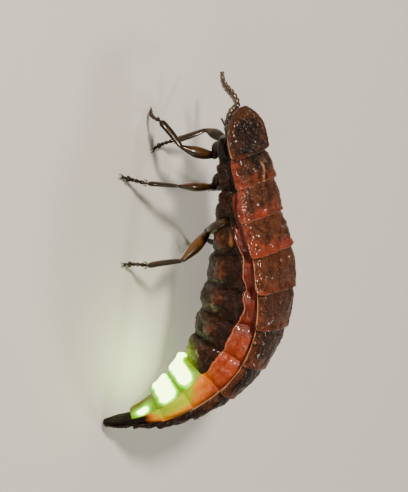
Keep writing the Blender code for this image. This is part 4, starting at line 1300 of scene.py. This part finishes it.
for name, (trochanter, knee, ankle, foot) in LEGS.items():
    pair, side_name = name.split("_")
    side = -1.0 if side_name == "left" else 1.0
    trochanter, knee, ankle = (np.array(point) + CENTRE for point in (trochanter, knee, ankle))
    foot = np.array((*foot, 0.0)) + CENTRE
    down_thigh = unit(knee - trochanter)
    down_shin = unit(ankle - knee)
    hinge = unit(np.cross(knee - trochanter, ankle - knee))
    hip_end = trochanter - down_thigh * 0.12
    hip = [trunk_point(station, side * turn, out) for station, turn, out in HIP_ROOTS[pair]]
    if pair != "hind":
        hip.append((hip[-1] + hip_end) / 2 + (0, 0, -0.06))
    parts = [
        limb(np.stack((*hip, hip_end)), HIP, hinge, 0.9, marks=(0.35, 0.1, 0.5)),
        limb(bowed(hip_end - down_thigh * 0.1, trochanter + down_thigh * 0.30, (0, 0, -0.03)), THIGH_RING,
             hinge, 0.9, rows=18, marks=(0.5, 0.0, 0.5)),
        limb(bowed(trochanter, knee, np.cross(hinge, down_thigh) * -0.10), THIGH, hinge,
             THIGH_FLATNESS[pair], 48, marks=(THIGH_PALENESS[pair], 0.0, 0.3), keel=0.06),
        limb(bowed(knee - down_shin * 0.08, ankle, np.cross(hinge, down_shin) * 0.06), SHIN, hinge,
             0.62, 48, marks=(0.22, 0.25, 0.3), ribs=0.03, keel=0.10),
        *foot_parts(ankle, foot, hinge),
    ]
    mounted(f"leg_{name}", finished_mesh(f"leg_{name}", *joined(parts)), leg_finish.material, "leg_horn",
            f"leg_{name}")


# Head
# The small flattened head of a female sits under the shield: a smooth dark capsule with low
# black eyes, curved jaws and short jointed palps.
HEAD_ENDS = (0.66, 1.66)
# Share of the length, half width, and how high its top and its underside lie
HEAD_SHAPE = ((0.0, 0.16, -0.22, -0.40), (0.10, 0.34, -0.08, -0.52), (0.3, 0.50, 0.05, -0.64),
              (0.55, 0.56, 0.12, -0.70), (0.85, 0.56, 0.10, -0.68), (1.0, 0.46, -0.02, -0.58))
HEAD_SIDES = 56
# Station, across and up of the stops of a jaw and of the lip, and half thickness along them
JAW_STOPS = ((0.98, 0.24, -0.46), (0.62, 0.28, -0.54), (0.40, 0.05, -0.60))
JAW = ((0.0, 0.12), (0.4, 0.085), (1.0, 0.015))
LIP_STOPS = ((0.82, 0.0, -0.24), (0.66, 0.0, -0.36), (0.54, 0.0, -0.44))
LIP = ((0.0, 0.26), (0.6, 0.22), (1.0, 0.15))
INNER_PALP_STATIONS = (0.95, 0.80, 0.64)
INNER_PALP = ((0.0, 0.05), (0.7, 0.065), (1.0, 0.05))
# Stations of the two ends and half thickness of the four joints of an outer palp
PALP_JOINTS = ((1.06, 0.88, 0.08), (0.90, 0.76, 0.075), (0.78, 0.64, 0.08), (0.66, 0.48, 0.07))
EYE_STATION = 1.08
EYE_UP = -0.24
EYE_RADIUS = 0.28
EYE_ACROSS = 0.54
EYE_BULGE = 0.24
HEAD_DARK = (0.0100, 0.0058, 0.0036)
HEAD_BROWN = (0.034, 0.016, 0.0080)
HEAD_TAN = (0.150, 0.062, 0.0210)
EYE_FACET = (0.014, 0.012, 0.012)
EYE_SEAM = (0.004, 0.003, 0.003)

head_finish = Finish("head_horn", IOR=1.5, Coat_Roughness=0.12)
pale_mark, _, _ = head_finish.marks()
stain = head_finish.place.noise(3.0, 3.0)
pits = head_finish.place.cells(15.0)
crust = stain.ramp(0.3, 0.75).tint(HEAD_DARK, HEAD_BROWN)
crust = pale_mark.ramp(0.2, 0.9).tint(crust, HEAD_TAN)
head_finish.join(Base_Color=crust, Roughness=0.25 + stain * 0.2, Coat_Weight=0.4 + stain * 0.2,
                 Normal=(1 - pits).bump(0.4, 0.02))

share = (1 - np.cos(np.pi * np.linspace(0, 1, 40))) / 2
turn = np.linspace(0, 2 * np.pi, HEAD_SIDES, endpoint=False)
half, top, bottom = np.moveaxis(smooth_table(HEAD_SHAPE)(share), -1, 0)
along, turned = np.meshgrid(share, turn, indexing="ij")
across = half[:, None] * np.sign(np.sin(turned)) * np.abs(np.sin(turned)) ** 0.8
height = (top + bottom)[:, None] / 2 + (top - bottom)[:, None] / 2 * np.cos(turned)
height = height - 0.05 * mound((across, 0.0, 0.13)) * (np.cos(turned) > 0) * np.sin(np.pi * along)
height = height + 0.012 * swell_noise(along * 3, turned, 0.3, 501)
points, faces = closed_loft(place(HEAD_ENDS[0] + (HEAD_ENDS[1] - HEAD_ENDS[0]) * along, across, height))
pieces = [(points, faces, np.zeros((len(points), 3)))]
_, _, head_side, head_up = trunk_frame(1.0)
for side in (-1.0, 1.0):
    path = [place(station, across * side, up) for station, across, up in JAW_STOPS]
    pieces.append(limb(path, JAW, head_up, 0.7, 24, 14, (0.35, 0.0, 0.0)))
    for start, end, thick in PALP_JOINTS:
        path = [place(station, (0.31 + 0.06 * (1.05 - station)) * side, -0.56 - 0.52 * (1.05 - station))
                for station in (start, (start + end) / 2, end)]
        pieces.append(limb(path, ((0.0, thick * 0.7), (0.7, thick), (1.0, thick * 0.75)), head_side, 1.0,
                           14, 12, (0.55, 0.0, 0.0)))
    path = [place(station, 0.13 * side, -0.60 - 0.35 * (1.0 - station)) for station in INNER_PALP_STATIONS]
    pieces.append(limb(path, INNER_PALP, head_side, 1.0, 12, 10, (0.6, 0.0, 0.0)))
lip = [place(*stop) for stop in LIP_STOPS]
pieces.append(limb(lip, LIP, head_side, 0.45, 20, 24, (0.30, 0.0, 0.0)))
mounted("head", finished_mesh("head", *joined(pieces)), head_finish.material, "dark_plate", "head")

eye_finish = Finish("eye_facets", Roughness=0.12, IOR=1.5, Coat_Weight=0.6, Coat_Roughness=0.05)
facets = eye_finish.place.cells(26.0, 0.15)
eye_finish.join(Base_Color=facets.ramp(0.1, 0.6).tint(EYE_FACET, EYE_SEAM),
                Normal=(1 - facets).bump(0.5, 0.012))
for side, side_name in SIDES:
    rings = [place(EYE_STATION + 0.22 * np.cos(turn), side * 0.42, EYE_UP + 0.24 * np.sin(turn))]
    for lift in np.linspace(0, np.pi / 2, 16)[:-1]:
        radius = EYE_RADIUS * math.cos(lift)
        rings.append(place(EYE_STATION + radius * np.cos(turn) * 0.92,
                           side * (EYE_ACROSS + EYE_BULGE * math.sin(lift)), EYE_UP + radius * np.sin(turn)))
    points, faces = closed_loft(np.stack(rings))
    mesh = finished_mesh(f"eye_{side_name}", points, faces, np.zeros((len(points), 3)))
    mounted(f"eye_{side_name}", mesh, eye_finish.material, "eye_black", f"eye_{side_name}")


# Feelers
# Each feeler is a chain of eleven short barrel joints of shiny olive-brown horn, threaded on
# one curve. The left one reaches forward and curls, and the right one hangs lower.
FEELERS = {
    "antenna_left": ((0.66, -3.02, 4.98), (0.30, -2.86, 5.00), (-0.12, -2.40, 5.05), (-0.80, -2.35, 4.55),
                     (-1.10, -2.60, 4.26), (-1.45, -2.75, 4.02), (-1.80, -2.80, 3.92)),
    "antenna_right": ((0.58, -2.40, 4.98), (0.16, -1.84, 4.76), (-0.25, -1.58, 4.56), (-0.75, -1.35, 4.00),
                      (-1.08, -1.15, 3.45), (-1.43, -1.00, 3.04), (-1.78, -0.90, 2.84)),
}
FEELER_JOINTS = 11
FEELER_STEPS = 60
FEELER_RADIUS, FEELER_SWELL, FEELER_TAPER = 0.185, 0.02, 0.05
JOINT_OVERLAP = 1.02
# Height and radius of a joint's rings, for a joint of length 1 and radius 1
BARREL = ((-0.50, 0.45), (-0.47, 0.62), (-0.38, 0.72), (-0.15, 0.84), (0.15, 0.95), (0.35, 1.0),
          (0.44, 0.94), (0.49, 0.75), (0.50, 0.5))
BARREL_SIDES = 18
FEELER_DARK = (0.022, 0.0105, 0.0034)
FEELER_AMBER = (0.090, 0.046, 0.0140)

feeler_finish = Finish("feeler_horn", IOR=1.5, Coat_Roughness=0.1)
stain = feeler_finish.place.noise(3.0, 3.0)
pits = feeler_finish.place.cells(20.0)
feeler_finish.join(Base_Color=stain.ramp(0.3, 0.75).tint(FEELER_DARK, FEELER_AMBER),
                   Roughness=0.20 + stain * 0.2, Coat_Weight=0.5 + stain * 0.3,
                   Normal=(1 - pits).bump(0.4, 0.015))

turn = np.linspace(0, 2 * np.pi, BARREL_SIDES, endpoint=False)
barrel_points, barrel_faces = closed_loft([
    np.stack((radius * np.cos(turn), radius * np.sin(turn), np.full(BARREL_SIDES, height)), -1)
    for height, radius in BARREL])
barrel_mesh = bpy.data.meshes.new("feeler_joint")
barrel_mesh.from_pydata(barrel_points.tolist(), [], barrel_faces)
barrel_mesh.shade_smooth()
barrel = bpy.data.objects.new("feeler_joint", barrel_mesh)

threaded, threaded_keys, given = node_tree("joints_on_a_curve", Curve="Geometry", Joints="Int",
                                           Length="Float", Joint="Object", Finish="Material")
start = given["Curve"]
spots = start.add("GeometryNodeCurveToPoints", {"mode": "COUNT"}, {"Curve": start, "Count": given["Joints"]})
turned = Wire(threaded, spots.socket.node.outputs["Rotation"])
thick = start.add("GeometryNodeInputRadius")
size = start.add("ShaderNodeCombineXYZ", {}, {"X": thick, "Y": thick, "Z": given["Length"]})
shape = start.add("GeometryNodeObjectInfo", {}, {"Object": given["Joint"]}, "Geometry")
joints = start.add("GeometryNodeInstanceOnPoints", {}, {"Points": spots, "Instance": shape,
                                                        "Rotation": turned, "Scale": size})
joints = start.add("GeometryNodeRealizeInstances", {}, {"Geometry": joints})
closed_tree(threaded, joints, given["Finish"])

for name, stops in FEELERS.items():
    rows = station_rows(np.array(stops) + CENTRE)
    length = rows[-1][0]
    walk = smooth_table(rows)
    steps = np.linspace(0, length, FEELER_STEPS)
    line = bpy.data.curves.new(name, "CURVE")
    line.dimensions = "3D"
    spline = line.splines.new("POLY")
    spline.points.add(len(steps) - 1)
    for point, step in zip(spline.points, steps):
        share = step / length
        point.co = (*(walk(step)[:3] * MM), 1.0)
        radius = FEELER_RADIUS + FEELER_SWELL * math.sin(share * math.pi) - FEELER_TAPER * share ** 3
        point.radius = radius * MM
    mesh = grown(name, bpy.data.objects.new(name, line), threaded, threaded_keys, {
        "Joints": FEELER_JOINTS, "Length": length / (FEELER_JOINTS - 1) * JOINT_OVERLAP * MM,
        "Joint": barrel, "Finish": feeler_finish.material})
    mounted(name, mesh, feeler_finish.material, "feeler_horn", name)
